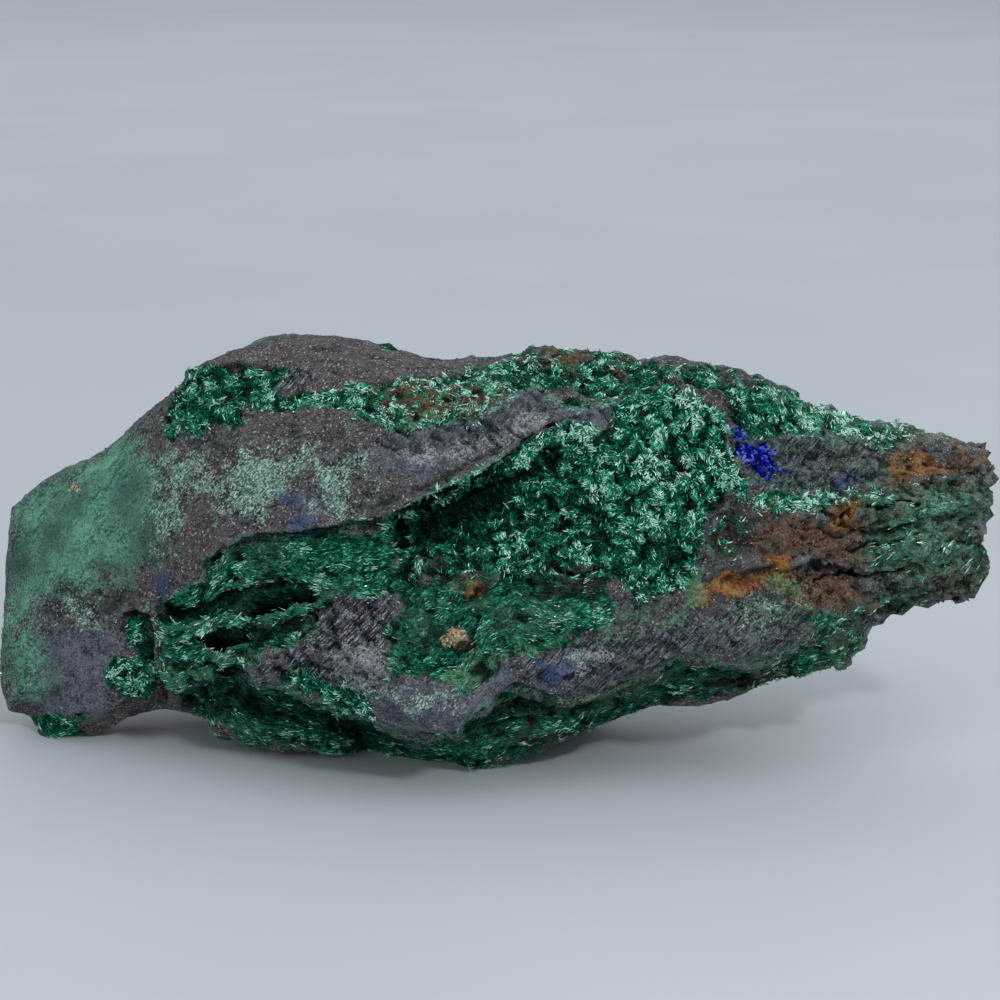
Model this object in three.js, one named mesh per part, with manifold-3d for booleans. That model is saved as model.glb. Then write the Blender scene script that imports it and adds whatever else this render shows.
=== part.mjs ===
// A long, wedge-shaped specimen of azurite and malachite on ironstone. Its show face carries a broad shoulder
// of bare ironstone, a hollow below the shoulder's rim that is lined with a crust of malachite, and a proud
// lower rim with an undercut beneath it.
//
// The rock is drawn on its show face. A point there is (x, v, d) in millimetres: x runs along the specimen,
// v up the face and d back into the rock. x and v are as seen by an eye before the face, so they spread with
// depth. The face leans back, so v and d are turned about X into the part's own frame, where +Z is up and
// the show face looks towards -Y. It rests on its keel, on a foot behind it and on its left foot.

import * as THREE from "three";
import { ImprovedNoise } from "three/addons/math/ImprovedNoise.js";
import { mergeVertices } from "three/addons/utils/BufferGeometryUtils.js";
import Module from "manifold-3d";

const wasm = await Module();
wasm.setup();

// ---- Driving dimensions, in millimetres and degrees ----

const LEAN = 14; // how far the show face leans back
const FLOOR = 3.6; // height of the resting plane in the leaning frame
const EYE_HEIGHT = 55; // the show face is drawn as an eye sees it that stands this high before its middle
const EYE_DISTANCE = 600;
const GAP = 0.3; // between a crust and the rock that it grows on

const STATIONS = 61; // sections along the rock
const FRONT_STEPS = 18; // points of a section over the show face
const BACK_STEPS = 10; // points of a section over the hidden side

// The outline of the show face, from the left tip to the right tip, over the crest and under the keel.
const CREST = [
  [-100.2, 21], [-99.4, 33], [-98.2, 46], [-97.6, 54.4], [-92.4, 58.2], [-84, 62.4], [-76, 68], [-70, 73.2],
  [-64, 77.4], [-60, 81], [-50, 85.4], [-44, 87.4], [-28, 86.9], [-22, 85], [-14, 83.2], [4, 83.8],
  [9, 84.8], [12, 83.6], [16, 85], [25, 83.6], [28, 82], [33, 83], [47, 81.2], [50, 79], [56, 78],
  [60, 74.4], [68, 73.2], [73, 71], [84, 69.2], [91, 65.8], [98.4, 66.4], [100, 63.5],
];
const KEEL = [
  [-100.2, 21], [-99.6, 16], [-96.6, 9.8], [-90, 5], [-82, 6.6], [-74, 12.2], [-68, 13.6], [-61, 12],
  [-54, 7.8], [-44, 4.8], [-30, 4], [-18, 2.4], [-5, 0.7], [3, 2.6], [12, 6.6], [24, 11], [33, 14.2],
  [42, 14.6], [54, 18.4], [66, 22], [71.4, 23.4], [73.6, 27], [74, 30], [80, 31.4], [88, 34.6],
  [93.6, 34.8], [96.8, 40], [97.2, 44], [95, 50.6], [99, 56.6], [100, 63.5],
];
const EDGE_DETAIL = 0.03; // share of the outline over which its small bumps even out away from the edge

// Depth of the outline itself, and how far the rock bulges in front of it and behind it, against x.
const CREST_DEPTH = [[-100, 18], [-70, 14], [-40, 13], [0, 11], [50, 6], [100, 1]];
const KEEL_DEPTH = [[-100, 16], [-70, 8], [-40, -2], [0, -6], [50, -3], [100, 1]];
const FRONT_BULGE = [
  [-100, 9], [-85, 14], [-66, 20], [-50, 25], [-20, 31], [0, 32], [25, 30], [50, 24], [80, 16], [100, 9],
];
const BACK_BULGE = [
  [-100, 14], [-85, 26], [-60, 34], [-30, 37], [0, 36], [30, 30], [60, 20], [85, 12], [100, 7],
];
const TIP_LENGTH = [0.09, 0.13]; // share of the outline over which the left and the right tip round off
const SQUARENESS = 0.68; // 1 gives an elliptical section, less a blockier one

// Swells and scoops of the show face: [x, v, half length, half height, tilt in degrees, height].
const FACE_LUMPS = [
  [-71.5, 28, 3, 5, 0, -3], // pocket beside the step
  [-74, 18.5, 5, 4, 0, -2], // pocket at the foot
  [0, 72, 15, 3.4, 24, -3], // crease along the shoulder
  [-45, 58, 22, 10, 8, 2.5], // shoulder
  [26, 61, 14, 13, 0, 4.5], // boss of the crust
  [22, 43, 18, 8, 0, 3],
  [-14, 14, 15, 7, -8, 6], // bulge of the lower rim
  [-28, 23, 7, 6, 0, 3.6], // round metallic lump
  [-40, 24, 9, 4, 20, 2.4],
  [4, 24, 14, 7, 20, 2],
  [51, 29, 9, 6.5, 10, 5], // dark mound
  [42, 78, 20, 4, -6, 2.4], // brow of the crest
  [-84, 42, 13, 22, 0, 3], // belly of the left block
  [86, 46, 9, 12, 0, 2],
];
const BACK_LUMPS = [
  [-52, 60, 24, 14, 12, 5], [-10, 34, 20, 12, -10, 5], [30, 62, 18, 10, 0, 4], [58, 44, 14, 9, 0, -4],
  [-78, 36, 10, 16, 0, -4], [4, 66, 12, 8, 30, -5], [36, 30, 16, 8, 12, 4],
  [-34, 8, 17, 7, 0, 9], [12, 9, 18, 6, 8, 9], // the foot that it rests on
];

// Pieces broken out of the rock. Each is a strip of a face between two lines. The upper line's rows are
// [x, v, how deep the break goes there], under is how far it reaches behind the upper line, and ease shapes
// its floor from the upper line to the lower one: near 0 the floor stays deep, and above 1 it soon rises.
const SHOW_BREAKS = [
  { // the hollow under the shoulder's rim
    upper: [[-20.5, 50.5, 8], [-14, 56.2, 12], [-4, 61, 12], [4, 65, 9], [12, 68.2, 5], [23, 69.6, 1.5]],
    lower: [[-20, 38], [-8, 33], [8, 35], [20, 42], [29, 54], [31, 68]],
    under: [-1.5, 2.5], ease: 1.5, columns: 18, rows: 7,
  },
  { // the beds under the left end of the rim
    upper: [
      [-67, 35, 2.5], [-60, 38.6, 3.5], [-57.6, 42.6, 4], [-52, 46.6, 4], [-42, 48, 4], [-32, 49, 4.5],
      [-19, 52.6, 7],
    ],
    lower: [[-66.5, 22], [-60, 22], [-50, 26], [-42, 30], [-32, 36], [-19, 42]],
    under: [0, 0.8], ease: 0.8, columns: 16, rows: 4,
  },
  { // a dark slot between the beds, open to the left
    upper: [[-67, 32, 5], [-60, 32.4, 8], [-54, 35.6, 10], [-46, 37.2, 10], [-36.6, 36.8, 5]],
    lower: [[-67, 30.4], [-60, 30.6], [-54, 31.6], [-46, 33.4], [-36.6, 36.2]],
    under: [0, 1.5], ease: 0.3, columns: 10, rows: 3,
  },
  { // a second slot below it
    upper: [[-64, 25.4, 3], [-59, 27.6, 8], [-54, 29, 8], [-48.6, 28, 4]],
    lower: [[-64, 24.8], [-59, 24.6], [-54, 25.6], [-48.6, 27.2]],
    under: [0, 1.2], ease: 0.3, columns: 7, rows: 2,
  },
  { // the ledge over the metallic wedge
    upper: [[-66, 21.6, 1], [-56, 22.4, 3], [-46, 27.4, 3.5], [-38, 32, 3], [-30, 36.6, 1]],
    lower: [[-66, 19.6], [-56, 17], [-46, 19], [-38, 24], [-30, 31]],
    under: [0, 0.8], ease: 1.2, columns: 10, rows: 3,
  },
  { // the undercut below the lower rim
    upper: [
      [-68, 17.6, 4], [-64, 17.2, 6], [-58.4, 19.2, 6], [-53.6, 22.4, 7], [-48, 18, 8], [-42, 17, 9],
      [-33, 13.8, 9], [-22, 9, 8], [-14, 6.8, 6], [-8.6, 8.4, 6], [-3, 13.6, 6], [4, 17.4, 6], [9, 15.4, 5],
      [14, 14.8, 5], [21, 16.2, 5], [29, 20, 5], [37, 24, 5], [44, 22.2, 4], [50, 21.4, 4], [58, 25, 4],
      [66, 29.4, 3], [78, 32.6, 1.5],
    ],
    lower: [[-70, -6], [-20, -12], [30, 0], [84, 20]],
    under: [0, 1.4], ease: 0.35, columns: 36, rows: 3,
  },
  { // the left block stands back from the step beside it
    upper: [[-66.5, 77, 1], [-67, 68, 2], [-67.6, 55, 4], [-68.6, 35, 5], [-67.4, 17, 5], [-66, 4, 5]],
    lower: [[-106, 84], [-106, 55], [-106, 20], [-106, -8]],
    under: [0.6, 0], ease: 0.3, columns: 12, rows: 4,
  },
  { // the pocket beside the step
    upper: [[-76, 32, 1], [-72, 33, 4], [-69.4, 30, 4], [-69.8, 22, 2]],
    lower: [[-77, 27], [-75, 23], [-73, 22], [-71.6, 20.6]],
    under: [0.6, 0.4], ease: 0.8, columns: 5, rows: 2,
  },
  { // the pocket below the crest
    upper: [[-67, 69.6, 2], [-65.4, 75.4, 3.5], [-60, 79.6, 4], [-53, 82, 3.5], [-44, 80.6, 2]],
    lower: [[-65.4, 67.2], [-60, 66.6], [-54, 69.4], [-50, 71.8], [-44.4, 75.6]],
    under: [0, 0.6], ease: 0.8, columns: 10, rows: 3,
  },
  { // ledges of the right end
    upper: [[44, 38.6, 1], [58, 41.4, 3], [66, 40.9, 4], [74, 39.4, 3], [84, 36.4, 2], [94, 37, 1]],
    lower: [[44, 34], [58, 36], [66, 35], [74, 33.4], [84, 32], [94, 34]],
    under: [0, 1.2], ease: 1.2, columns: 12, rows: 2,
  },
  {
    upper: [[60, 50.6, 1], [66, 53, 3], [72, 47.6, 3], [84, 50.6, 2.6], [96, 51, 1.5]],
    lower: [[60, 45], [66, 46], [72, 43], [84, 45], [96, 46]],
    under: [0, 1], ease: 1.2, columns: 8, rows: 2,
  },
];
const BACK_BREAKS = [
  {
    upper: [[-86, 52, 1], [-60, 60, 7], [-20, 52, 8], [20, 62, 7], [56, 54, 4], [80, 56, 1]],
    lower: [[-86, 34], [-60, 34], [-20, 28], [20, 36], [56, 40], [80, 46]],
    under: [0, 1.5], ease: 1.1, columns: 16, rows: 3,
  },
  {
    upper: [[-70, 32, 1], [-40, 25, 5], [0, 31, 6], [34, 33, 5], [60, 38, 1]],
    lower: [[-70, 18], [-40, 14], [0, 17], [34, 20], [60, 26]],
    under: [0, 1.2], ease: 1, columns: 12, rows: 3,
  },
  {
    upper: [[24, 82, 5], [20, 70, 6], [26, 56, 4], [22, 44, 1]],
    lower: [[58, 80], [62, 68], [60, 54], [52, 44]],
    under: [-0.8, 0], ease: 0.9, columns: 8, rows: 4,
  },
];

// Flat faces where the rock broke: [x, d, v] normal, and how far from the middle the face lies.
const MIDDLE = [0, 8, 43];
const FRACTURES = [
  [[-0.95, -0.28, 0.1], 97], [[-0.62, 0.78, 0.05], 70], [[0.5, 0.86, 0.1], 43], [[0, 0.72, 0.69], 42],
  [[-0.15, 0.78, -0.6], 39], [[0.35, 0.5, -0.79], 39], [[-0.35, 0.55, 0.76], 54], [[0.1, 0.97, -0.2], 33],
];

// The crusts of malachite crystals: one lines the hollow and its boss, and one the pocket below the crest.
const CRUSTS = [
  {
    name: "malachite_hollow_crust",
    upper: [
      [-18.6, 49.6], [-13, 54.2], [-4, 59], [4, 63], [13, 66.2], [22, 68], [26, 74.6], [33, 78.4], [42, 77],
    ],
    lower: [[-17, 41], [-12, 36.5], [-4, 35], [8, 36], [20, 38], [32, 40], [42, 42], [49, 49], [46.5, 66]],
    thickness: 1, crystals: 3, columns: 22, rows: 9,
  },
  {
    name: "malachite_pocket_crust",
    upper: [[-65.6, 70], [-64.4, 75], [-59.6, 78.8], [-53, 81], [-45, 79.8]],
    lower: [[-64.6, 68], [-60, 67.6], [-54, 70.2], [-50, 72.6], [-45.6, 76]],
    thickness: 0.8, crystals: 2.4, columns: 8, rows: 3,
  },
];

// The azurite: short prisms on two touching pads, [x, v, half length, half height] each.
const AZURITE_PADS = [[50.8, 64.6, 3.4, 1.8], [53, 61.6, 2.3, 1.6]];
const AZURITE_CRYSTALS = 3; // on each pad
const AZURITE_RADIUS = [0.6, 1];
const AZURITE_LENGTH = [1.2, 2.2];

// ---- Small helpers ----

const FAR = 100; // clear of the rock on either side
const noise = new ImprovedNoise();
const random = ((seed) => () => {
  seed = (seed * 1664525 + 1013904223) % 4294967296;
  return seed / 4294967296;
})(7);
const between = (low, high) => low + (high - low) * random();

// Noise at a point: lumps of the given size, from -1 to 1.
const lumps = (x, y, z, size, seed = 0) => noise.noise(x / size + seed, y / size - seed, z / size + 2 * seed);

// The value at x of a table of [x, value] rows, eased between its rows.
function along(table, x) {
  const next = table.findIndex(([at]) => at > x);
  if (next === 0) return table[0][1];
  if (next < 0) return table[table.length - 1][1];
  const [[x0, low], [x1, high]] = [table[next - 1], table[next]];
  return THREE.MathUtils.lerp(low, high, THREE.MathUtils.smoothstep(x, x0, x1));
}

// A smooth line through [x, v] or [x, v, depth] rows.
const lineThrough = (rows) =>
  new THREE.CatmullRomCurve3(rows.map(([x, v, depth = 0]) => new THREE.Vector3(x, v, depth)));

// A face point turned into the part's own frame.
function place(x, v, d) {
  const lean = THREE.MathUtils.degToRad(LEAN);
  const spread = 1 + d / EYE_DISTANCE;
  const [px, pv] = [x * spread, EYE_HEIGHT + (v - EYE_HEIGHT) * spread];
  return new THREE.Vector3(
    px,
    d * Math.cos(lean) + pv * Math.sin(lean),
    pv * Math.cos(lean) - d * Math.sin(lean) - FLOOR,
  );
}

// The height at (x, v) of one swell, or minus the depth of one scoop.
function lump([cx, cv, rx, rv, tilt, height], x, v) {
  const turn = THREE.MathUtils.degToRad(tilt);
  const a = ((x - cx) * Math.cos(turn) + (v - cv) * Math.sin(turn)) / rx;
  const b = ((v - cv) * Math.cos(turn) - (x - cx) * Math.sin(turn)) / rv;
  return height * Math.exp(-(a * a + b * b));
}

// Thin beds that run along the rock: ridges across v that wander with x.
function beds(x, v, thickness, height) {
  const phase = (v + 3 * lumps(x, v, 0, 22, 3)) / thickness;
  return height * (1 - 2 * Math.abs(2 * (phase - Math.floor(phase)) - 1)) * (0.5 + lumps(x, 2 * v, 0, 14, 8));
}

// ---- The rock's skin ----

// Moves a face point that lies outside a broken face almost onto that face.
function trimToFractures(point) {
  for (const [normal, reach] of FRACTURES) {
    const n = new THREE.Vector3(...normal).normalize();
    const over = n.dot(point) - n.dot(new THREE.Vector3(...MIDDLE)) - reach;
    if (over > 0) point.addScaledVector(n, -0.92 * over);
  }
  return point;
}

// A point of the outline at t. Away from the edge its small bumps even out.
function outlineAt(line, t, edge) {
  const sharp = line.getPointAt(t);
  const reach = Math.min(EDGE_DETAIL, t, 1 - t);
  const smooth = new THREE.Vector3();
  for (const step of [-1, -0.5, 0.5, 1]) smooth.addScaledVector(line.getPointAt(t + step * reach), 0.25);
  return smooth.lerp(sharp, edge);
}

// The depth of the outline at x, from the keel (up = 0) to the crest (up = 1).
const outlineDepth = (x, up) => THREE.MathUtils.lerp(along(KEEL_DEPTH, x), along(CREST_DEPTH, x), up);

// One point of the skin: t along the outline, and the angle from the crest over the show face to the back.
function skinPoint(crest, keel, t, angle) {
  const [c, s] = [Math.cos(angle), Math.sin(angle)];
  const up = 0.5 + 0.5 * Math.sign(c) * Math.abs(c) ** SQUARENESS;
  const top = outlineAt(crest, t, THREE.MathUtils.smoothstep(up, 0.96, 1));
  const bottom = outlineAt(keel, t, THREE.MathUtils.smoothstep(1 - up, 0.96, 1));
  const { x, y: v } = bottom.lerp(top, up);
  const [leftTip, rightTip] = TIP_LENGTH.map((share, end) => Math.min(1, (end ? 1 - t : t) / share));
  const round = Math.sqrt(1 - (1 - leftTip) ** 3) * Math.sqrt(1 - (1 - rightTip) ** 2);
  const out = Math.abs(s) ** 0.8 * round;
  const front = s > 0;
  const bulge = along(front ? FRONT_BULGE : BACK_BULGE, x) * out;
  const swells = (front ? FACE_LUMPS : BACK_LUMPS).reduce((sum, row) => sum + lump(row, x, v), 0);
  const bedded = front ? THREE.MathUtils.smoothstep(x, 40, 56) : 0.8;
  const relief = (swells + bedded * beds(x, v, front ? 6 : 10, 1.1)) * Math.min(1, 1.6 * out);
  const depth = outlineDepth(x, up) + (front ? -1 : 1) * (bulge + relief);
  const rough = round * (2.2 * lumps(x, depth, v, 17, 4) + 1.2 * lumps(x, depth, v, 7, 1));
  const point = new THREE.Vector3(x, depth + (front ? -rough : rough), v + 0.4 * rough * c);
  return trimToFractures(point);
}

// The closed skin, as sections from tip to tip with one point at each tip.
function rockGeometry() {
  const [crest, keel] = [lineThrough(CREST), lineThrough(KEEL)];
  const angles = [];
  for (let i = 0; i < FRONT_STEPS; i++) angles.push((Math.PI * i) / FRONT_STEPS);
  for (let i = 0; i < BACK_STEPS; i++) angles.push(Math.PI * (1 + i / BACK_STEPS));
  const around = angles.length;
  const positions = [];
  const add = (t, angle) => {
    const p = skinPoint(crest, keel, t, angle);
    return positions.push(...place(p.x, p.z, p.y).toArray()) / 3 - 1;
  };
  const tips = [add(0, Math.PI / 2), add(1, Math.PI / 2)];
  const rows = [];
  for (let i = 1; i < STATIONS; i++) rows.push(angles.map((angle) => add(i / STATIONS, angle)));
  const faces = [];
  for (let k = 0; k < around; k++) {
    const next = (k + 1) % around;
    faces.push(tips[0], rows[0][next], rows[0][k]);
    faces.push(tips[1], rows[rows.length - 1][k], rows[rows.length - 1][next]);
    for (let i = 1; i < rows.length; i++) {
      const [a, b, c, d] = [rows[i - 1][k], rows[i - 1][next], rows[i][next], rows[i][k]];
      faces.push(a, b, c, a, c, d);
    }
  }
  return indexed(positions, faces);
}

// ---- Solids ----

function indexed(positions, faces) {
  return new THREE.BufferGeometry()
    .setAttribute("position", new THREE.Float32BufferAttribute(positions, 3))
    .setIndex(faces);
}

function solidOf(geometry) {
  const bare = geometry.clone();
  bare.deleteAttribute("normal");
  bare.deleteAttribute("uv");
  const merged = mergeVertices(bare, 1e-4);
  return new wasm.Manifold(
    new wasm.Mesh({
      numProp: 3,
      vertProperties: merged.attributes.position.array,
      triVerts: new Uint32Array(merged.index.array),
    }),
  );
}

function geometryOf(solid) {
  const { vertProperties, triVerts } = solid.getMesh();
  return indexed(vertProperties, [...triVerts]);
}

const largest = (solid) => solid.decompose().sort((a, b) => b.volume() - a.volume())[0];

// Gives the depth at (x, v) of the solid's show face, or of its back.
function depthOf(solid, back = false) {
  const skin = new THREE.Mesh(geometryOf(solid), new THREE.MeshBasicMaterial({ side: THREE.DoubleSide }));
  const caster = new THREE.Raycaster();
  const side = back ? 1 : -1;
  return (x, v) => {
    const from = place(x, v, side * FAR);
    const sight = place(x, v, 0).sub(from);
    caster.set(from, sight.clone().normalize());
    const [hit] = caster.intersectObject(skin);
    return hit ? side * FAR * (1 - hit.distance / sight.length()) : outlineDepth(x, v > MIDDLE[2] ? 1 : 0);
  };
}

// A closed slab over the strip between two lines on a face. near and far give, for a point of the strip, its
// [x, v, d] on the slab's two sheets. The point comes as x, v, the upper line's third value, and the shares
// along the strip and down it. With a peak height, each cell of the near sheet rises to a crystal's point.
function strip({ upper, lower, columns, rows }, near, far, peak = 0) {
  const [high, low] = [lineThrough(upper), lineThrough(lower)];
  const positions = [];
  const sheet = (at) => {
    const grid = [];
    for (let i = 0; i <= columns; i++) {
      const [top, bottom] = [high.getPointAt(i / columns), low.getPointAt(i / columns)];
      const column = [];
      for (let j = 0; j <= rows; j++) {
        const p = top.clone().lerp(bottom, j / rows);
        const corner = place(...at(p.x, p.y, top.z, i / columns, j / rows));
        column.push(positions.push(...corner.toArray()) / 3 - 1);
      }
      grid.push(column);
    }
    return grid;
  };
  const [front, back] = [sheet(near), sheet(far)];
  const faces = [];
  const quad = (a, b, c, d) => faces.push(a, b, c, a, c, d);
  const outward = place(0, 0, -1).sub(place(0, 0, 0));
  const point = (corners) => {
    const shares = corners.map(() => 0.2 + random());
    const total = shares.reduce((sum, share) => sum + share);
    const p = outward.clone().multiplyScalar(peak * between(0.4, 1));
    corners.forEach((corner, k) => {
      p.addScaledVector(new THREE.Vector3().fromArray(positions, 3 * corner), shares[k] / total);
    });
    const top = positions.push(...p.toArray()) / 3 - 1;
    corners.forEach((corner, k) => faces.push(corner, corners[(k + 1) % 4], top));
  };
  for (let i = 0; i < columns; i++) {
    for (let j = 0; j < rows; j++) {
      const cell = [front[i][j], front[i][j + 1], front[i + 1][j + 1], front[i + 1][j]];
      if (peak) point(cell);
      else quad(...cell);
      quad(back[i][j], back[i + 1][j], back[i + 1][j + 1], back[i][j + 1]);
    }
    quad(front[i][0], front[i + 1][0], back[i + 1][0], back[i][0]);
    quad(front[i][rows], back[i][rows], back[i + 1][rows], front[i + 1][rows]);
  }
  for (let j = 0; j < rows; j++) {
    quad(front[0][j], back[0][j], back[0][j + 1], front[0][j + 1]);
    quad(front[columns][j], front[columns][j + 1], back[columns][j + 1], back[columns][j]);
  }
  const made = solidOf(indexed(positions, faces));
  return made.volume() > 0 ? made : solidOf(indexed(positions, faces.reverse()));
}

// ---- Breaks, slots, crusts and crystals ----

// The piece that a break takes out of the rock, on its show face or its back.
function breakOut(row, depthAt, back = false) {
  const side = back ? -1 : 1;
  const floor = (x, v, drop, u, w) => {
    const deep = drop * (1 - w) ** row.ease - 0.5 * w + 0.5 * lumps(x, v, 3, 6, 6);
    const reach = 1 - w;
    return [x + row.under[0] * reach, v + row.under[1] * reach, depthAt(x, v) + side * deep];
  };
  return strip(row, (x, v) => [x, v, -side * FAR], floor);
}

// The rock and four copies of it, each a gap away, so that what is cut by them clears the rock.
function grown(rock) {
  const [down, out] = [place(0, -GAP, 0).sub(place(0, 0, 0)), place(0, 0, -GAP).sub(place(0, 0, 0))];
  const steps = [out, down, new THREE.Vector3(GAP, 0, 0), new THREE.Vector3(-GAP, 0, 0)];
  return steps.reduce((sum, step) => sum.add(rock.translate(step.toArray())), rock);
}

// A crust: its front stands in pointed crystals, and its back fits the rock.
function crust(row, depthAt, rock) {
  const bite = 2.5;
  const front = (x, v, _, u, w) => {
    const inside = Math.min(1, 9 * u, 9 * (1 - u), 6 * w, 6 * (1 - w));
    return [x + between(-0.6, 0.6), v + between(-0.6, 0.6), depthAt(x, v) - GAP - row.thickness * inside];
  };
  return largest(strip(row, front, (x, v) => [x, v, depthAt(x, v) + bite], row.crystals).subtract(rock));
}

// A geometry of three.js that faces the viewer along +Z, set on the show face and leant by two angles.
function onFace(geometry, x, v, d, tiltUp = 0, tiltRight = 0) {
  const upright = THREE.MathUtils.degToRad(90 - LEAN + tiltUp);
  const turn = new THREE.Euler(upright, 0, THREE.MathUtils.degToRad(tiltRight), "ZXY");
  return geometry.applyMatrix4(new THREE.Matrix4().makeRotationFromEuler(turn).setPosition(place(x, v, d)));
}

// A six-sided prism with a blunt point, standing along +Z.
function azuriteCrystal(radius, length) {
  const profile = [[0, -1.2], [radius, -1.2], [radius, length * 0.7], [radius * 0.4, length], [0, length]];
  const turned = new THREE.LatheGeometry(profile.map(([r, h]) => new THREE.Vector2(r, h)), 6);
  return turned.scale(1, 1, 0.7).rotateX(Math.PI / 2);
}

function azuriteCluster(depthAt, rock) {
  const solids = [];
  for (const [x, v, rx, rv] of AZURITE_PADS) {
    solids.push(onFace(new THREE.SphereGeometry(1, 8, 4).scale(rx, rv, 1.3), x, v, depthAt(x, v)));
    for (let i = 0; i < AZURITE_CRYSTALS; i++) {
      const angle = 2.4 * i;
      const reach = 0.8 * Math.sqrt((i + 0.5) / AZURITE_CRYSTALS);
      const [cx, cv] = [x + reach * rx * Math.cos(angle), v + reach * rv * Math.sin(angle)];
      const crystal = azuriteCrystal(between(...AZURITE_RADIUS), between(...AZURITE_LENGTH));
      solids.push(onFace(crystal, cx, cv, depthAt(cx, cv), between(-35, 35), between(-40, 40)));
    }
  }
  return largest(solids.map(solidOf).reduce((sum, solid) => sum.add(solid)).subtract(rock));
}

// ---- The specimen ----

const aboveFloor = new THREE.BoxGeometry(4 * FAR, 4 * FAR, 4 * FAR).translate(0, 0, 2 * FAR);
let rock = solidOf(rockGeometry());
for (const row of SHOW_BREAKS) rock = rock.subtract(breakOut(row, depthOf(rock)));
for (const row of BACK_BREAKS) rock = rock.subtract(breakOut(row, depthOf(rock, true), true));
rock = largest(rock.intersect(solidOf(aboveFloor)));

const depthAt = depthOf(rock);
const clearance = grown(rock);

function mesh(name, solid, color, roughness) {
  const material = new THREE.MeshStandardMaterial({ color, roughness, metalness: 0 });
  const made = new THREE.Mesh(geometryOf(solid), material);
  made.name = name;
  return made;
}

const specimen = new THREE.Group();
specimen.add(mesh("ironstone_rock", rock, 0x4a4147, 0.85));
for (const row of CRUSTS) specimen.add(mesh(row.name, crust(row, depthAt, clearance), 0x0c6b4b, 0.45));
specimen.add(mesh("azurite_crystals", azuriteCluster(depthAt, clearance), 0x1726a8, 0.25));

// The origin is on the resting plane, under the middle of the specimen.
const box = new THREE.Box3().setFromObject(specimen);
specimen.position.set(-(box.min.x + box.max.x) / 2, -(box.min.y + box.max.y) / 2, 0);

export default new THREE.Group().add(specimen);
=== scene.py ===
# The looks of a long specimen of azurite and malachite on ironstone. The ironstone is a copy of the packed
# rock with its beds, grain and cracks sculpted in. Malachite stands on it as sprays of fine crystals, which
# are real meshes, and azurite as a cluster of small blades. Every surface has a procedural finish.

import math

import bpy
import numpy as np
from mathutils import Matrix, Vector


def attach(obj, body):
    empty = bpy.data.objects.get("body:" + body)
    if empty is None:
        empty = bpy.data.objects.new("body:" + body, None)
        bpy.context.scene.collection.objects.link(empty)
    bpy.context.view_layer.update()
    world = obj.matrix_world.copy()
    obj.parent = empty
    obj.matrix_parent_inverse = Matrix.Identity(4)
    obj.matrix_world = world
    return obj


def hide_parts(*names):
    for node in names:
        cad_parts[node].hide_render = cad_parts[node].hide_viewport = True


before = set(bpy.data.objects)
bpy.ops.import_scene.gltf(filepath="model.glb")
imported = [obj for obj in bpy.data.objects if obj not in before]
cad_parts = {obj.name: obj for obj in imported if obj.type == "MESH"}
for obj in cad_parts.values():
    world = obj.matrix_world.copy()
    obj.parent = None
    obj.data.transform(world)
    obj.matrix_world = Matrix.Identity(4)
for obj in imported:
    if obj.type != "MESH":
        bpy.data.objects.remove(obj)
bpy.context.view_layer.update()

# ---- Sizes and places, in millimetres and degrees unless a comment says otherwise ----

MM = 0.001  # metres
LEAN = math.radians(14)  # how far the show face leans back
FLOOR_DROP = 3.6  # height of the resting plane in the leaning frame
FACE_SHIFT = (2.022, -15.894)  # where the show face's zero lies in the part's own frame
EYE = (0, 55, -600)  # the viewer, as x, v and depth before the show face
LENS = 108  # gives a view 200 wide at the show face on a 36 sensor
SENSOR = 36
NEAREST_SEEN = 10  # what lies nearer to the eye is left out
TURN_OF_SIGHT = (-0.08, 0.1)  # the cosines from which a face counts as seen, and as fully seen

ROCK_GRAIN = 0.5  # spacing of the rock's vertices on the show side
ROCK_TRIANGLES = 186000
CRUST_SINK = 0.8  # how deep the crusts' roots reach into the rock
FOOT_HEIGHTS = (0.3, 2.5)  # the foot is left smooth below these heights
HIDDEN_DIP = 0.12  # how steeply the beds run on the hidden sides

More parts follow.
